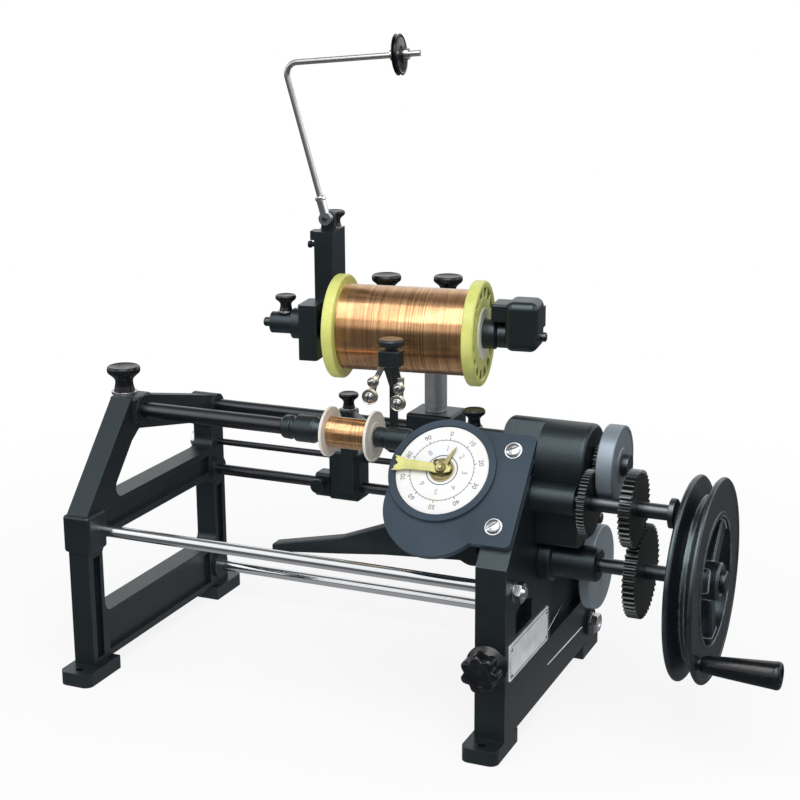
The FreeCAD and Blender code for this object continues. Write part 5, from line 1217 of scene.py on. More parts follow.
@dataclass
class Handwheel:
    """The grooved handwheel with its spokes, hub and turning grip."""

    inner: float = 50.0 * MM
    groove: float = 65.0 * MM
    flange: float = 4.2 * MM
    overhang: float = 4.0 * MM
    hub: float = 15.0 * MM
    bore: float = 6.05 * MM
    edge: float = 1.3 * MM
    spokes: int = 3
    first_spoke: float = 165.0
    spoke_half: float = 8.5 * MM
    spoke_thickness: float = 11.0 * MM
    spoke_inset: float = 3.0 * MM
    grip_bore: float = 4.05 * MM
    pin_bevel: float = 0.4 * MM

    def build(self, machine: Machine) -> None:
        """Turn the rim and the hub, set the spokes and turn the grip."""
        line = machine.joint_line("crank_spin")
        span = machine.span("handwheel", line)
        width = span.length - self.overhang
        parts = [self.rim(line, span, width), self.hub_boss(line, span, width)]
        parts += [self.spoke(line, span.low + width, index) for index in range(self.spokes)]
        machine.add_piece(join(parts, "handwheel_cast"), WHEEL_PAINT, "handwheel", ["handwheel"])
        self.grip(machine)
        machine.dress_node("handle_pin", DARK_STEEL, self.pin_bevel)

    def rim(self, line: Line, span: Span, width: float) -> Piece:
        """Two flanges with a V groove between them, and a broad flat face."""
        outer, edge, start = span.radius, self.edge, span.low
        lip = 4.0 * MM
        dip = 0.7 * MM
        corners = [
            (0, self.inner), (0, outer - edge), (edge, outer), (self.flange - edge, outer),
            (self.flange, outer - edge), (width / 2 - 2 * MM, self.groove), (width / 2 + 2 * MM, self.groove),
            (width - self.flange, outer - edge), (width - self.flange + edge, outer), (width - edge, outer),
            (width, outer - edge), (width, outer - lip), (width - dip, outer - lip - dip),
            (width - dip, self.inner + lip), (width, self.inner + lip - dip), (width, self.inner)]
        profile = [(start + x, r) for x, r in corners]
        return lathe("rim", profile, line, segments=192, soft=0.5 * MM, closed=True)

    def hub_boss(self, line: Line, span: Span, width: float) -> Piece:
        """The hub with a turned face and a bore for the shaft."""
        end = span.low + width + self.overhang
        profile = [(span.low, self.bore), (span.low, self.hub), (end - 1.5 * MM, self.hub),
                   (end, self.hub - 1.5 * MM), (end, self.hub * 0.72), (end - 0.8 * MM, self.hub * 0.68),
                   (end - 0.8 * MM, self.bore)]
        return lathe("hub", profile, line, soft=0.4 * MM, closed=True)

    def spoke(self, line: Line, face: float, index: int) -> Piece:
        """One waisted spoke with rounded edges."""
        near = self.hub * 0.7
        far = self.inner + 2.5 * MM
        steps = 10
        side = []
        for step in range(steps + 1):
            part = step / steps
            flare = 1 + 0.32 * abs(2 * part - 1) ** 3
            side.append((near + (far - near) * part, self.spoke_half * 0.88 * flare))
        outline = [(x, -y) for x, y in side] + [(x, y) for x, y in reversed(side)]
        arm = plate(f"spoke_{index}", outline, self.spoke_thickness)
        soften(arm, 2.6 * MM, segments=4, angle=50)
        angle = math.radians(self.first_spoke + 360 * index / self.spokes)
        frame = seat(line, face - self.spoke_thickness - self.spoke_inset, Y_AXIS)
        arm.matrix_world = frame @ at_place(0, 0, angle)
        return arm

    def grip(self, machine: Machine) -> None:
        """The flared black grip, polished by hands."""
        line = machine.joint_line("handle_spin")
        span = machine.span("crank_handle", line)
        start, end, wide = span.low, span.high, span.radius
        narrow = wide * 0.6
        bore = self.grip_bore
        flare = [(start + span.length * part, narrow + (wide - narrow) * part ** 0.85)
                 for part in (0.08, 0.2, 0.35, 0.5, 0.65, 0.8, 0.9)]
        profile = [
            (start, bore), (start, narrow * 0.92), (start + 1.2 * MM, narrow), *flare,
            (end - 3.6 * MM, wide), (end - 1.4 * MM, wide * 0.95), (end - 0.3 * MM, wide * 0.82),
            (end, wide * 0.62), (end - 0.5 * MM, bore + 2 * MM), (end - 5.0 * MM, bore + 1.8 * MM),
            (end - 5.2 * MM, bore)]
        machine.turn("crank_grip", profile, line, KNOB_BLACK, Slot.KNOB, "crank_handle", ["crank_handle"],
                     soft=0.8 * MM, closed=True)


@dataclass
class Bobbin:
    """The bobbin being wound, between the drive chuck and the live centre."""

    wire: float = 0.5 * MM
    bore: float = 4.05 * MM
    core: float = 8.0 * MM
    wound_core: float = 8.05 * MM
    quill_bevel: float = 0.4 * MM

    def build(self, machine: Machine) -> None:
        """Turn the bobbin, its winding and what holds it."""
        line = machine.joint_line("spindle_spin")
        self.bobbin(machine, line)
        winding = machine.span("bobbin_winding", line)
        turns = wound("bobbin_turns", line, winding.low, winding.high, self.wound_core, winding.radius,
                      self.wire)
        machine.add_piece(turns, COPPER, "bobbin_winding", ["bobbin_winding"])
        self.chuck(machine, line)
        self.centre(machine)
        machine.dress_node("tail_quill", BLACK_ROD, self.quill_bevel)

    def bobbin(self, machine: Machine, line: Line) -> None:
        """Two thin flanges with thickened rims on a hollow core."""
        span = machine.span("bobbin", line)
        wall = 2.4 * MM
        rim = span.radius - 2.2 * MM
        thin = 0.5 * MM
        core = self.core
        corners = [
            (span.low, self.bore), (span.low, core + 3 * MM), (span.low + thin, core + 4 * MM),
            (span.low + thin, rim), (span.low, rim + thin), (span.low, span.radius),
            (span.low + wall, span.radius), (span.low + wall, rim + thin), (span.low + wall - thin / 2, rim),
            (span.low + wall - thin / 2, core)]
        middle = span.low + span.high
        far = [(middle - x, r) for x, r in reversed(corners)]
        machine.turn("bobbin_moulded", corners + far, line, CREAM, Slot.CREAM, "bobbin", ["bobbin"],
                     soft=0.35 * MM, closed=True)

    def chuck(self, machine: Machine, line: Line) -> None:
        """A stepped black sleeve with a grip ring."""
        span = machine.span("drive_chuck", line)
        start, end, wide = span.low, span.high, span.radius
        profile = [
            (start, self.bore), (start, wide - 2.5 * MM), (start + 1.5 * MM, wide - 1 * MM),
            (start + 9 * MM, wide - 1 * MM), (start + 9.5 * MM, wide - 2 * MM),
            (start + 11.5 * MM, wide - 2 * MM), (start + 12 * MM, wide), (end - 14 * MM, wide),
            (end - 13 * MM, wide - 1.2 * MM),
            (end - 1 * MM, wide - 1.2 * MM), (end, wide - 2 * MM), (end, self.bore)]
        machine.turn("chuck_sleeve", profile, line, STAND_PAINT, Slot.STAND, "drive_chuck", ["drive_chuck"],
                     soft=0.4 * MM, closed=True)

    def centre(self, machine: Machine) -> None:
        """The live centre: a cup with a polished waist and a nose that enters the bobbin's face."""
        line = machine.joint_line("centre_spin")
        span = machine.span("live_centre", line)
        start, end, wide = span.low, span.high, span.radius
        profile = [
            (start, wide * 0.7), (start + 2 * MM, wide * 0.86), (start + 9 * MM, wide * 0.9),
            (start + 10 * MM, wide * 0.76), (start + 13 * MM, wide * 0.76), (start + 14 * MM, wide),
            (end - 12 * MM, wide), (end - 10.5 * MM, wide * 0.9), (end - 6 * MM, wide * 0.84),
            (end - 2 * MM, wide * 0.66), (end, wide * 0.6)]
        machine.turn("centre_cup", profile, line, STAND_PAINT, Slot.STAND, "live_centre", ["live_centre"],
                     soft=0.7 * MM)


@dataclass
class Knobs:
    """The black moulded knobs with their studs and washers."""

    stud: float = 4.0 * MM
    stud_radius: float = 4.0 * MM
    clearance: float = 0.02 * MM
    cap: tuple[tuple[float, float], ...] = (
        (0.10, 0.64), (0.30, 0.56), (0.46, 0.53), (0.56, 0.60), (0.66, 0.78), (0.74, 0.95),
        (0.79, 1.0), (0.90, 1.0), (0.97, 0.95), (0.99, 0.88), (0.96, 0.78), (0.93, 0.5))
    star_collar: float = 8.0 * MM
    star_stud: float = 6.0 * MM
    star_lobe: float = 15.6 * MM
    star_lobes: int = 7
    star_waist: float = 12.2 * MM

    def build(self, machine: Machine) -> None:
        """Turn every knob."""
        knobs = {
            "tail_lock_knob": "tail_knob_turn", "nose_lock_knob": "nose_knob_turn",
            "guide_lock_knob": "guide_knob_turn", "left_beam_knob": "left_beam_knob_turn",
            "right_beam_knob": "right_beam_knob_turn", "shaft_lock_screw": "shaft_screw_turn",
            "arm_lock_screw": "arm_screw_turn"}
        for node, joint in knobs.items():
            self.thumb(machine, node, machine.joint_line(joint))
        self.star(machine)

    def thumb(self, machine: Machine, node: str, line: Line) -> None:
        """A dished cap on a waisted neck, over a bright washer and its stud."""
        span = machine.span(node, line)
        base = span.low + self.stud
        tall = span.high - base
        wide = span.radius - self.clearance
        profile = [(base + tall * up, wide * out) for up, out in self.cap]
        machine.turn(f"{node}_cap", profile, line, KNOB_BLACK, Slot.KNOB, node, [node], soft=tall * 0.03)
        machine.turn(f"{node}_washer", [
            (base, self.stud_radius), (base, wide * 0.78), (base + tall * 0.1, wide * 0.78),
            (base + tall * 0.1, self.stud_radius)], line, NUT_STEEL, Slot.BRIGHT_STEEL, node,
            soft=0.3 * MM, closed=True)
        machine.turn(f"{node}_stud", [
            (span.low, self.stud_radius * 0.8), (span.low + 0.8 * MM, self.stud_radius),
            (base + tall * 0.12, self.stud_radius)], line, NUT_STEEL, Slot.BRIGHT_STEEL, node, soft=0.2 * MM)

    def star(self, machine: Machine) -> None:
        """The lobed knob with its broad collar and a dished front."""
        node = "star_knob"
        line = machine.joint_line("star_knob_turn")
        span = machine.span(node, line)
        base = span.low + self.star_stud
        lobe = self.star_lobe
        swing = (lobe - self.star_waist) / 2

        def lobes(along: float, radius: float, angle: float) -> float:
            """Deep round lobes over the grip, fading towards its middle."""
            share = max(0.0, (radius - self.star_waist * 0.7) / (lobe - self.star_waist * 0.7))
            return radius - share * swing * (1 - math.cos(self.star_lobes * angle)) ** 1.4 / 1.3

        front = span.high
        start = base + self.star_collar
        machine.turn("star_grip", [
            (start, lobe * 0.9), (start + 1.5 * MM, lobe), (front - 2.5 * MM, lobe),
            (front - 0.6 * MM, lobe * 0.9), (front, lobe * 0.72), (front - 0.8 * MM, lobe * 0.5),
            (front - 1.2 * MM, lobe * 0.2)],
            line, KNOB_BLACK, Slot.KNOB, node, [node], segments=168, soft=0.9 * MM, shape=lobes)
        machine.turn("star_collar", [
            (base, span.radius * 0.98), (base + 2.5 * MM, span.radius), (base + 3.4 * MM, span.radius * 0.95),
            (start - 1.5 * MM, lobe * 0.78), (start + 0.5 * MM, lobe * 0.7)],
            line, KNOB_BLACK, Slot.KNOB, node, soft=0.6 * MM)
        machine.turn("star_stud", [
            (span.low, self.stud_radius * 0.8), (span.low + 0.8 * MM, self.stud_radius),
            (base + 0.5 * MM, self.stud_radius)], line, NUT_STEEL, Slot.BRIGHT_STEEL, node, soft=0.2 * MM)


@dataclass
class Dial:
    """The slanted plate with its counter dial."""

    print_height: float = 0.06 * MM
    track: float = 26.0 * MM
    hub_track: float = 12.6 * MM
    line_width: float = 0.45 * MM
    figure_radius: float = 31.6 * MM
    figure_height: float = 4.0 * MM
    inner_figure_radius: float = 18.6 * MM
    inner_figure_height: float = 4.6 * MM
    ticks: int = 50
    major: int = 5
    hub_radius: float = 10.2 * MM
    overreach: float = 5.0 * MM
    short_hand_angle: float = 70.0
    hand_gap: float = 0.8 * MM
    hand_thickness: float = 1.2 * MM
    hand_bevel: float = 0.3 * MM
    hand_screw: tuple[float, float] = (-4.6 * MM, 4.4 * MM)
    screw_slots: tuple[float, float] = (0.5, 0.75)

    def build(self, machine: Machine) -> None:
        """Dress the plate, print the face, and shape the hands and the screws."""
        machine.dress_node("dial_plate", DIAL_PLATE_LIT_PAINT, 0.8 * MM)
        machine.dress_node("dial_face", DIAL_WHITE, 0.2 * MM)
        line = machine.joint_line("long_hand_turn")
        top = machine.span("dial_face", line).high
        self.print_face(machine, line, top)
        self.hub(machine, line, top)
        self.short_hand(machine, line)
        self.long_hand(machine, line)
        self.screws(machine, line)

    def ring(self, name: str, line: Line, height: float, radius: float, width: float) -> Piece:
        """A thin printed circle."""
        low, high = height, height + self.print_height
        return lathe(name, [(low, radius - width / 2), (low, radius + width / 2), (high, radius + width / 2),
                            (high, radius - width / 2)], line, segments=128, soft=0, closed=True)

    def print_face(self, machine: Machine, line: Line, top: float) -> None:
        """Two circles, the ticks, an outer ring of tens and an inner ring of units."""
        frame = seat(line, top)
        dark = [self.ring("track", line, top, self.track, self.line_width),
                self.ring("hub_track", line, top, self.hub_track, self.line_width * 1.6)]
        for index in range(self.ticks):
            long_tick = index % self.major == 0
            reach = 2.2 * MM if long_tick else 1.1 * MM
            half = 0.3 * MM if long_tick else 0.16 * MM
            tick = plate(f"tick_{index}", [(-half, 0), (half, 0), (half, reach), (-half, reach)],
                         self.print_height)
            turn = -2 * math.pi * index / self.ticks
            tick.matrix_world = frame @ at_place(0, 0, turn) @ at_place(0, self.track)
            dark.append(tick)
        dark += self.figures(frame, [str(10 * step) for step in range(10)], self.figure_radius,
                             self.figure_height)
        machine.add_piece(join(dark, "dial_print"), DIAL_INK, "dial_face")
        pale = self.figures(frame, [str(step) for step in range(1, 9)], self.inner_figure_radius,
                            self.inner_figure_height)
        machine.add_piece(join(pale, "dial_inner_print"), PALE_INK, "dial_face")

    def figures(self, frame: Matrix, texts: Sequence[str], radius: float,
                height: float) -> list[Piece]:
        """Numbers evenly round the dial, each with its top outwards."""
        made = []
        for index, text in enumerate(texts):
            figure = numeral(text, height, self.print_height)
            turn = -2 * math.pi * index / len(texts)
            figure.matrix_world = frame @ at_place(0, 0, turn) @ at_place(0, radius)
            made.append(figure)
        return made

    def hub(self, machine: Machine, line: Line, top: float) -> None:
        """The brass cup under the hands."""
        wide = self.hub_radius
        bore = 2.0 * MM
        machine.turn("dial_hub", [
            (top, bore), (top, wide), (top + 0.55 * MM, wide), (top + 0.6 * MM, wide * 0.86),
            (top + 0.25 * MM, wide * 0.8), (top + 0.25 * MM, wide * 0.4), (top + 0.6 * MM, wide * 0.36),
            (top + 0.6 * MM, bore)], line, HUB_BRASS, Slot.BRASS, "dial_face", soft=0.12 * MM, closed=True)

    def short_hand(self, machine: Machine, line: Line) -> None:
        """The pointed hand with its broad root."""
        span = machine.span("short_hand", line)
        reach = span.radius + self.overreach
        side = [(-5 * MM, 2.6 * MM), (-2 * MM, 4.2 * MM), (2.5 * MM, 4.0 * MM), (5 * MM, 2.4 * MM),
                (8 * MM, 1.9 * MM), (reach - 4 * MM, 1.0 * MM)]
        outline = [(x, -y) for x, y in side] + [(reach, 0)] + side[::-1]
        hand = plate("counter_hand", outline, span.length, self.hand_bevel)
        hand.matrix_world = seat(line, span.low) @ at_place(0, 0, math.radians(self.short_hand_angle))
        machine.add_piece(hand, HUB_BRASS, "short_hand", ["short_hand"])

    def long_hand(self, machine: Machine, line: Line) -> None:
        """The broad yellow hand with its fishtail, its boss, nut and screw."""
        span = machine.span("long_hand", line)
        reach = span.radius + self.overreach
        top = span.high
        level = machine.span("short_hand", line).high + self.hand_gap
        thick = self.hand_thickness
        edge = [(-reach, 6.6 * MM), (-reach + 2.2 * MM, 4.2 * MM), (-reach + 1.2 * MM, 3.2 * MM),
                (-reach + 4.4 * MM, 0)]
        side = [(8 * MM, 2.0 * MM), (4 * MM, 3.4 * MM), (-4 * MM, 4.4 * MM), (-9 * MM, 3.6 * MM),
                (-reach + 13 * MM, 4.2 * MM), (-reach + 8 * MM, 5.4 * MM), (-reach + 4 * MM, 6.2 * MM)]
        under = [(x, -y) for x, y in reversed(edge[:-1])] + [(x, -y) for x, y in reversed(side)]
        outline = edge + under + side
        hand = plate("turn_hand", outline, thick, self.hand_bevel)
        hand.matrix_world = seat(line, level)
        machine.add_piece(hand, BRASS, "long_hand", ["long_hand"])
        machine.turn("hand_arbor", [
            (span.low, 1.6 * MM), (level + 0.2 * MM, 1.6 * MM), (level + 0.2 * MM, 4.6 * MM),
            (top - 1.4 * MM, 4.4 * MM), (top - 0.5 * MM, 3.6 * MM), (top - 0.9 * MM, 1.8 * MM),
            (top, 1.5 * MM)], line, HUB_BRASS, Slot.BRASS, "long_hand", soft=0.3 * MM)
        frame = seat(line, level + thick * 0.9) @ at_place(*self.hand_screw)
        screw = slotted_head("hand_screw", frame, 2.7 * MM, 1.6 * MM, 0.9)
        machine.add_piece(screw, HUB_BRASS, "long_hand")

    def screws(self, machine: Machine, line: Line) -> None:
        """Domed, slotted screws with bright washers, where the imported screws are."""
        heads: list[Piece] = []
        places = [vertex.co for vertex in machine.nodes["plate_screws"].data.vertices]
        frame = seat(line)
        back = frame.inverted()
        flat = [back @ place for place in places]
        split = (min(p.y for p in flat) + max(p.y for p in flat)) / 2
        for number, slot in enumerate(self.screw_slots):
            mine = [p for p in flat if (p.y > split) == (number == 0)]
            middle = Vector(((min(p.x for p in mine) + max(p.x for p in mine)) / 2,
                             (min(p.y for p in mine) + max(p.y for p in mine)) / 2, 0))
            radius = (max(p.x for p in mine) - min(p.x for p in mine)) / 2
            top = max(p.z for p in mine)
            base = top - 3.6 * MM
            axis = Line(frame @ middle, line.direction)
            heads.append(lathe(f"screw_washer_{number}", [
                (base, radius * 0.3), (base, radius), (base + 0.7 * MM, radius),
                (base + 0.7 * MM, radius * 0.3)],
                axis, segments=64, soft=0.2 * MM, closed=True))
            heads.append(slotted_head(f"screw_{number}", seat(axis, base + 0.6 * MM), radius * 0.84,
                                      3.0 * MM, slot))
            heads.append(lathe(f"screw_shank_{number}", [
                (min(p.z for p in mine), 2.6 * MM), (base + 0.6 * MM, 2.6 * MM)], axis, segments=32, soft=0))
        machine.add_piece(join(heads, "plate_screw_pair"), NUT_STEEL, "plate_screws",
                          ["plate_screws"])


@dataclass
class Guide:
    """The wire guide: carriage, arm and wheels."""

    axle: float = 1.55 * MM
    head: float = 3.3 * MM
    head_height: float = 2.3 * MM
    head_foot: tuple[float, float] = (54 * MM, 277.5 * MM)
    cover: float = 0.4 * MM
    fork_half: float = 2.0 * MM
    head_gap: float = 0.45 * MM
    slot_turn: float = 200.0
    blade_gap: float = 0.2 * MM
    blade_thickness: float = 3.2 * MM
    blade_lean: float = 0.35
    blade_rise: float = 8.0 * MM

    def build(self, machine: Machine) -> None:
        """Dress the castings and shape the wheels and the forks."""
        machine.dress_node("guide_carriage", STAND_PAINT, 0.6 * MM)
        machine.dress_node("guide_arm", STAND_PAINT, 0.4 * MM)
        machine.dress_node("rod_clamp", STAND_PAINT, 0.6 * MM)
        for side in ("left", "right"):
            lines = []
            for size in ("guide", "small"):
                node = f"{side}_{size}_wheel"
                line = machine.joint_line(f"{node}_spin")
                self.wheel(machine, node, line)
                lines.append(line)
            self.fork(machine, side, *lines)

    def wheel(self, machine: Machine, node: str, line: Line) -> None:
        """A grooved nickel wheel with a screw through it."""
        span = machine.span(node, line)
        low, high, wide = span.low, span.high, span.radius
        middle = (low + high) / 2
        lip = 0.7 * MM
        profile = [
            (low, self.axle), (low, wide * 0.55), (low + 0.3 * MM, wide * 0.6), (low + 0.3 * MM, wide * 0.85),
            (low, wide * 0.92), (low, wide), (low + lip, wide), (middle - 0.4 * MM, wide - 1.9 * MM),
            (middle + 0.4 * MM, wide - 1.9 * MM), (high - lip, wide), (high, wide), (high, self.axle)]
        machine.turn(f"{node}_turned", profile, line, NICKEL, Slot.NICKEL, node, [node], soft=0.2 * MM,
                     closed=True, segments=72)
        out = Line(line.point, -Y_AXIS)
        face = -low if out.direction.dot(line.direction) < 0 else high
        frame = seat(out, face + self.head_gap)
        screw = slotted_head(f"{node}_screw", frame, self.head, self.head_height, wide * self.slot_turn)
        machine.add_piece(screw, NUT_STEEL, "guide_arm")

    def fork(self, machine: Machine, side: str, big: Line, small: Line) -> None:
        """A nickel blade that wraps the fork from the guide head down to the wheels."""
        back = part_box(f"{side}_guide_wheel")[1].y + self.blade_gap
        thick = self.blade_thickness
        half = self.fork_half + self.cover
        top = small.point + Vector(((small.point.x - big.point.x) * self.blade_lean, 0, self.blade_rise))
        if side == "left":
            top.x, top.z = self.head_foot
        outline = [(top.x - half, top.z), (small.point.x - half, small.point.z),
                   (big.point.x - half, big.point.z), (big.point.x, big.point.z - half),
                   (big.point.x + half, big.point.z), (small.point.x + half, small.point.z),
                   (top.x + half, top.z)]
        blade = plate(f"{side}_fork_blade", outline, thick, 0.3 * MM)
        blade.matrix_world = Matrix(((1, 0, 0, 0), (0, 0, -1, back + thick), (0, 1, 0, 0), (0, 0, 0, 1)))
        machine.add_piece(blade, NICKEL, "guide_arm")


@dataclass
class SpoolStand:
    """Post, beam, brackets and tension arm."""

    bevel: float = 0.8 * MM
    sleeve_radius: float = 4.0 * MM
    sleeve_length: float = 17.0 * MM
    arm_tilt: float = 15.2
    clearance: float = 0.2 * MM
    mast_screw: tuple[float, float, float] = (-95 * MM, -36 * MM, 68.5 * MM)

    def build(self, machine: Machine) -> None:
        """Dress the stand, the arm and its pulley."""
        for node in ("post_base", "spool_beam", "left_spool_bracket", "right_spool_bracket"):
            machine.dress_node(node, STAND_PAINT, self.bevel)
        self.post(machine)
        machine.dress_node("spool_shaft", DARK_STEEL, 0.3 * MM)
        machine.dress_node("spool_cones", STAND_PAINT, 0.4 * MM)
        machine.dress_node("tension_arm", ARM_STEEL, 0)
        self.sleeve(machine)
        self.thumbscrew(machine)
        self.pulley(machine)

    def post(self, machine: Machine) -> None:
        """The polished post with its spigot."""
        line = machine.joint_line("stand_swivel")
        span = machine.span("spool_post", line)
        spigot = span.radius * 0.6
        foot = span.low + 7.1 * MM
        machine.turn("post_bar", [
            (span.low, spigot), (foot, spigot), (foot, span.radius), (span.high - 2 * MM, span.radius),
            (span.high - 0.6 * MM, span.radius * 0.9), (span.high, span.radius * 0.7)],
            line, POST_STEEL, Slot.BRIGHT_STEEL, "spool_post", ["spool_post"], soft=0.4 * MM)

    def arm_line(self, machine: Machine) -> Line:
        """The centre line of the arm's rising leg, from its hinge up."""
        hinge = machine.joint_line("arm_swing")
        tilt = Matrix.Rotation(-math.radians(self.arm_tilt), 3, hinge.direction)
        return Line(hinge.point, tilt @ Z_AXIS)

    def sleeve(self, machine: Machine) -> None:
        """The bright sleeve and its collar at the arm's foot."""
        line = self.arm_line(machine)
        start = 3.0 * MM
        end = start + self.sleeve_length
        wide = self.sleeve_radius
        machine.turn("arm_sleeve", [
            (start, 2.5 * MM), (start, wide * 0.9), (start + 1 * MM, wide), (end - 4 * MM, wide),
            (end - 3.4 * MM, wide * 1.15), (end - 1 * MM, wide * 1.15), (end, wide * 0.9), (end, 2.5 * MM)],
            line, CHROME, Slot.BRIGHT_STEEL, "tension_arm", soft=0.3 * MM, closed=True, segments=48)

    def thumbscrew(self, machine: Machine) -> None:
        """The small turned screw on the mast's left side."""
        post = machine.joint_line("stand_swivel")
        along = machine.joint_line("spool_spin").direction
        across = Z_AXIS.cross(along)
        x, y, z = self.mast_screw
        line = Line(post.point + along * x + across * y + Z_AXIS * z, -along)
        machine.turn("mast_thumbscrew", [
            (-1 * MM, 1.4 * MM), (4 * MM, 1.4 * MM), (4.4 * MM, 2.0 * MM), (6.4 * MM, 2.2 * MM),
            (6.8 * MM, 3.1 * MM), (9.2 * MM, 3.1 * MM), (9.6 * MM, 2.6 * MM)],
            line, KNOB_BLACK, Slot.KNOB, "left_spool_bracket", soft=0.25 * MM, segments=48)

    def pulley(self, machine: Machine) -> None:
        """The dark grooved pulley near the arm's tip."""
        line = machine.joint_line("pulley_spin")
        span = machine.span("tension_pulley", line)
        low, high, wide = span.low, span.high, span.radius - self.clearance
        middle = (low + high) / 2
        bore = 2.55 * MM
        side = [(low, bore), (low, wide * 0.38), (low + 1.4 * MM, wide * 0.46), (low + 1.8 * MM, wide * 0.84),
                (low + 1.3 * MM, wide * 0.93), (low + 2.2 * MM, wide), (middle - 0.7 * MM, wide - 3.6 * MM)]
        far = [(low + high - x, r) for x, r in reversed(side)]
        machine.turn("pulley_turned", side + far, line, KNOB_BLACK, Slot.KNOB, "tension_pulley",
                     ["tension_pulley"], soft=0.4 * MM, closed=True)


@dataclass
class SupplySpool:
    """The moulded supply spool and its winding."""

    wire: float = 0.8 * MM
    flange: float = 10.0 * MM
    rim: float = 6.0 * MM
    web: float = 3.0 * MM
    core: float = 22.0 * MM
    bore: float = 12.0 * MM
    ribs: int = 16
    rib_half: float = 1.5 * MM
    web_radius: float = 30.5 * MM
    web_depth: float = 1.0 * MM
    hollow_depth: float = 2.0 * MM

    def build(self, machine: Machine) -> None:
        """Turn the flanges, set the ribs and wind the wire."""
        line = machine.joint_line("spool_spin")
        span = machine.span("supply_spool", line)
        shell = [self.flange_ring(line, span, side) for side in (-1, 1)]
        shell.append(lathe("core", [
            (span.low, self.bore), (span.low, self.core), (span.high, self.core), (span.high, self.bore)],
            line, soft=0.8 * MM, closed=True))
        shell += [self.rib(line, span, side, index) for side in (-1, 1) for index in range(self.ribs)]
        machine.add_piece(join(shell, "spool_moulded"), LIME, "supply_spool", ["supply_spool"])
        for side, name in ((-1, "left"), (1, "right")):
            self.inlays(machine, line, span, side, name)
        winding = machine.span("supply_winding", line)
        turns = wound("supply_turns", line, winding.low, winding.high, self.core, winding.radius, self.wire)
        machine.add_piece(turns, COPPER, "supply_winding", ["supply_winding"])

    @staticmethod
    def from_face(span: Span, side: int, depth: float) -> float:
        """The place along the axis at a depth under one end's outer face."""
        return span.high - depth if side > 0 else span.low + depth

    def flange_ring(self, line: Line, span: Span, side: int) -> Piece:
        """One flange: a broad rim round a sunk web."""
        wide = span.radius
        inner = wide - self.rim
        web_back = self.flange - self.web
        corners = [(self.flange, self.core), (self.flange, wide - 1 * MM), (self.flange - 1 * MM, wide),
                   (1.2 * MM, wide), (0, wide - 1.4 * MM), (0, inner + 0.8 * MM), (0.8 * MM, inner),
                   (web_back, inner - 0.6 * MM), (web_back, self.web_radius + 0.8 * MM),
                   (self.web_depth, self.web_radius), (self.web_depth, self.core)]
        profile = [(self.from_face(span, side, depth), radius) for depth, radius in corners]
        return lathe(f"flange_{side}", profile, line, segments=144, soft=0.8 * MM, closed=True)

    def rib(self, line: Line, span: Span, side: int, index: int) -> Piece:
        """One radial rib across the sunk web."""
        near = self.web_radius - 0.5 * MM
        far = span.radius - self.rim + 0.5 * MM
        half = self.rib_half
        top = 1.2 * MM
        tall = self.flange - self.web - top
        outline = [(near, -half * 2.2), (far, -half), (far, half), (near, half * 2.2)]
        made = plate(f"rib_{side}_{index}", outline, tall + 0.4 * MM)
        soften(made, 0.35 * MM)
        low = min(self.from_face(span, side, depth) for depth in (top, top + tall + 0.4 * MM))
        made.matrix_world = seat(line, low, Y_AXIS) @ at_place(0, 0, 2 * math.pi * index / self.ribs)
        return made

    def inlays(self, machine: Machine, line: Line, span: Span, side: int, name: str) -> None:
        """The floor between the ribs, painted dark as their shade, and the pale ring on the hub."""
        # A thin dark ring between the ribs that paints their shade.
        floor = self.hollow_depth
        rim = span.radius - self.rim
        corners = [(floor + 0.5 * MM, self.web_radius), (floor + 0.5 * MM, rim), (floor, rim),
                   (floor, self.web_radius)]
        machine.turn(f"{name}_spool_painted_shade_floor", [(self.from_face(span, side, d), r) for d, r in corners], line,
                     LIME_PAINTED_SHADE, Slot.LIME, "supply_spool", closed=True, soft=0)
        corners = [(2 * MM, self.bore), (2 * MM, self.core + 0.3 * MM), (0.2 * MM, self.core + 0.3 * MM),
                   (-0.3 * MM, self.core - 0.8 * MM), (-0.3 * MM, self.bore + 1 * MM), (0.4 * MM, self.bore)]
        machine.turn(f"{name}_spool_hub", [(self.from_face(span, side, d), r) for d, r in corners], line,
                     HUB_PALE, Slot.LIME, "supply_spool", closed=True, soft=0.25 * MM)


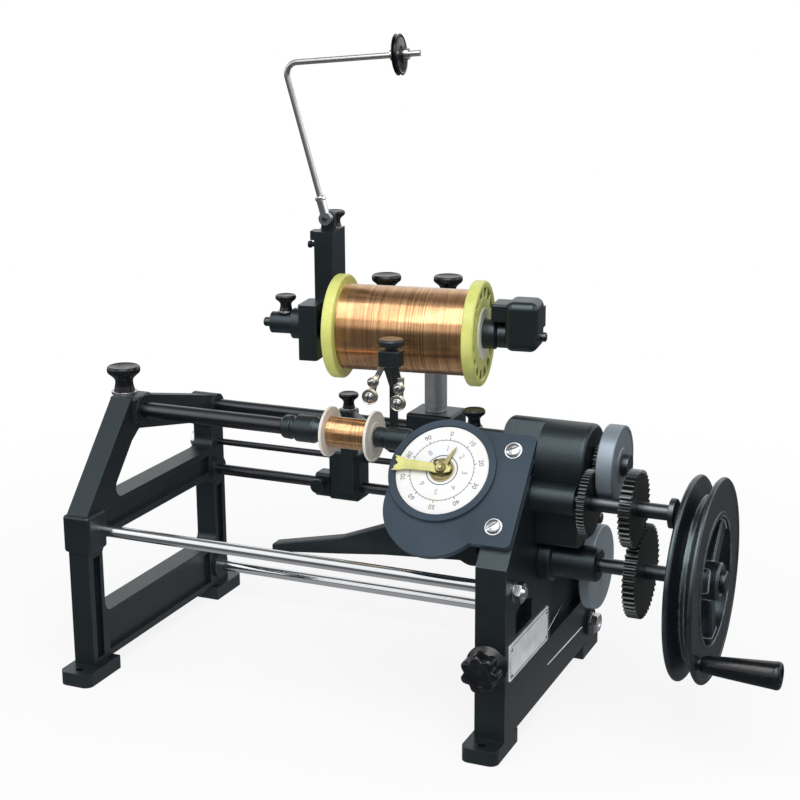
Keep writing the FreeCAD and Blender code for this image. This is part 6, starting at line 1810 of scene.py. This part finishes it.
@dataclass
class Studio:
    """Camera, lamps, floor and the pale surroundings."""

    place: Place = (0.5967, -1.2315, 0.6000)
    azimuth: float = 23.49
    elevation: float = 14.86
    roll: float = -0.314
    focal: float = 75.45
    sensor: float = 36.0
    floor_size: float = 9.0
    floor_white: Colour = (0.94, 0.94, 0.94)
    floor_mirrored: Colour = (0.33, 0.33, 0.34)
    floor_far: Colour = (0.10, 0.105, 0.11)
    floor_drop: float = 0.3 * MM
    dim_between: tuple[float, float] = (0.16, 0.36)
    fade: tuple[float, float, float, float] = (0.25, 0.9, 0.86, 1.0)
    ambient: float = 0.30
    lamps: tuple[tuple[str, Place, float, float], ...] = (
        ("key", (0.35, -0.95, 1.75), 1.5, 26), ("side", (1.7, 0.7, 1.1), 0.9, 4),
        ("left", (-1.5, -0.9, 1.0), 1.0, 4))
    lamp_aim: Place = (0.05, 0, 0.2)
    room_greys: tuple[tuple[float, float], ...] = (
        (0.0, 0.10), (0.035, 0.16), (0.10, 0.95), (0.45, 1.1), (0.53, 0.16), (0.70, 0.18), (0.78, 1.0))

    def build(self) -> None:
        """Set the camera, lamps, floor and world."""
        self.camera()
        self.floor()
        self.world()
        for lamp in self.lamps:
            self.lamp(*lamp)

    def camera(self) -> None:
        """A camera with the photograph's place, angle and focal length."""
        azimuth, elevation, roll = (math.radians(a) for a in (self.azimuth, self.elevation, self.roll))
        back = Vector((math.sin(azimuth) * math.cos(elevation), -math.cos(azimuth) * math.cos(elevation),
                       math.sin(elevation)))
        level = Vector((math.cos(azimuth), math.sin(azimuth), 0))
        upright = back.cross(level)
        right = level * math.cos(roll) + upright * math.sin(roll)
        up = back.cross(right)
        data = bpy.data.cameras.new("camera")
        data.lens = self.focal
        data.sensor_width = self.sensor
        camera = bpy.data.objects.new("camera", data)
        camera.matrix_world = Matrix.Translation(self.place) @ Matrix((right, up, back)).transposed().to_4x4()
        bpy.context.scene.collection.objects.link(camera)
        bpy.context.scene.camera = camera

    def lamp(self, name: str, at: Place, size: float, power: float) -> None:
        """A square soft lamp aimed at the machine.

        Args:
            name: The lamp's name.
            at: Its place.
            size: Its width.
            power: Its power in watts.
        """
        data = bpy.data.lights.new(name, "AREA")
        data.size = size
        data.energy = power
        lamp = bpy.data.objects.new(name, data)
        aim = Vector(self.lamp_aim) - Vector(at)
        lamp.location = at
        lamp.rotation_mode = "QUATERNION"
        lamp.rotation_quaternion = aim.to_track_quat("-Z", "Y")
        bpy.context.scene.collection.objects.link(lamp)

    def floor(self) -> None:
        """A pale floor that fades into the white surroundings."""
        half = self.floor_size / 2
        sheet = new_piece("floor", [(x, y, 0) for x, y in rectangle(half, half)], [(0, 1, 2, 3)])
        sheet.location.z = -self.floor_drop
        material = bpy.data.materials.new("pale_floor")
        material.use_nodes = True
        bench = ShaderBench(material.node_tree)
        place = bench.node("ShaderNodeTexCoord", output="Object")
        away = bench.node("ShaderNodeVectorMath", {"operation": "LENGTH"}, {0: place}, "Value")
        mirrored = bench.node("ShaderNodeLightPath", output="Is Glossy Ray")
        dim = bench.mix(away.ramp(*self.dim_between), self.floor_mirrored, self.floor_far)
        pale = bench.node("ShaderNodeBsdfDiffuse", inputs={
            "Color": bench.mix(mirrored, self.floor_white, dim)})
        glow = bench.node("ShaderNodeEmission", inputs={
            "Color": bench.mix(mirrored, (1.0, 1.0, 1.0), dim), "Strength": 1.0})
        blend = bench.node("ShaderNodeMixShader", inputs={0: away.ramp(*self.fade), 1: pale, 2: glow})
        bench.node("ShaderNodeOutputMaterial", inputs={"Surface": blend})
        sheet.data.materials.append(material)
        sheet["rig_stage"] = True

    def world(self) -> None:
        """White surroundings for the camera, a room for reflections, and a plain level of light."""
        world = bpy.data.worlds.new("studio")
        world.use_nodes = True
        bpy.context.scene.world = world
        bench = ShaderBench(world.node_tree)
        kinds = ("Camera", "Glossy", "Transmission")
        camera, mirrored, through = (
            bench.node("ShaderNodeLightPath", output=f"Is {kind} Ray") for kind in kinds)
        strength = (camera + mirrored + through).ramp(0, 1, self.ambient, 1.0)
        colour = bench.mix(mirrored, (1.0, 1.0, 1.0), self.room(bench))
        light = bench.node("ShaderNodeBackground", inputs={"Color": colour, "Strength": strength})
        bench.node("ShaderNodeOutputWorld", inputs={"Surface": light})

    def room(self, bench: ShaderBench) -> Signal:
        """What polished surfaces mirror: a wide soft box over the bench's front, dim elsewhere."""
        way = bench.node("ShaderNodeTexCoord", output="Generated")
        turn = math.radians(self.azimuth)
        front = bench.node("ShaderNodeVectorMath", {"operation": "DOT_PRODUCT"}, {
            0: way, 1: (math.sin(turn), -math.cos(turn), 0)}, "Value")
        height = bench.node("ShaderNodeSeparateXYZ", inputs={"Vector": way}, output="Z")
        over = bench.math("ARCTAN2", height, front) * (1 / math.pi)
        stops = [(place, (grey, grey, grey)) for place, grey in self.room_greys]
        return bench.node("ShaderNodeValToRGB", {"stops": stops}, {"Fac": over})


def main() -> None:
    """Build the machine's looks in order."""
    logging.basicConfig(level=logging.INFO, format="%(message)s")
    for item in list(bpy.data.objects):
        bpy.data.objects.remove(item)
    machine = Machine()
    Studio().build()
    for assembly in (EndFrames(), TieRods(), Drive(), Handwheel(), Bobbin(), Knobs(), Dial(), Guide(),
                     SpoolStand(), SupplySpool()):
        assembly.build(machine)
    machine.check_all_dressed()
    bpy.context.scene.view_settings.view_transform = "Standard"


if __name__ == "__main__":
    main()
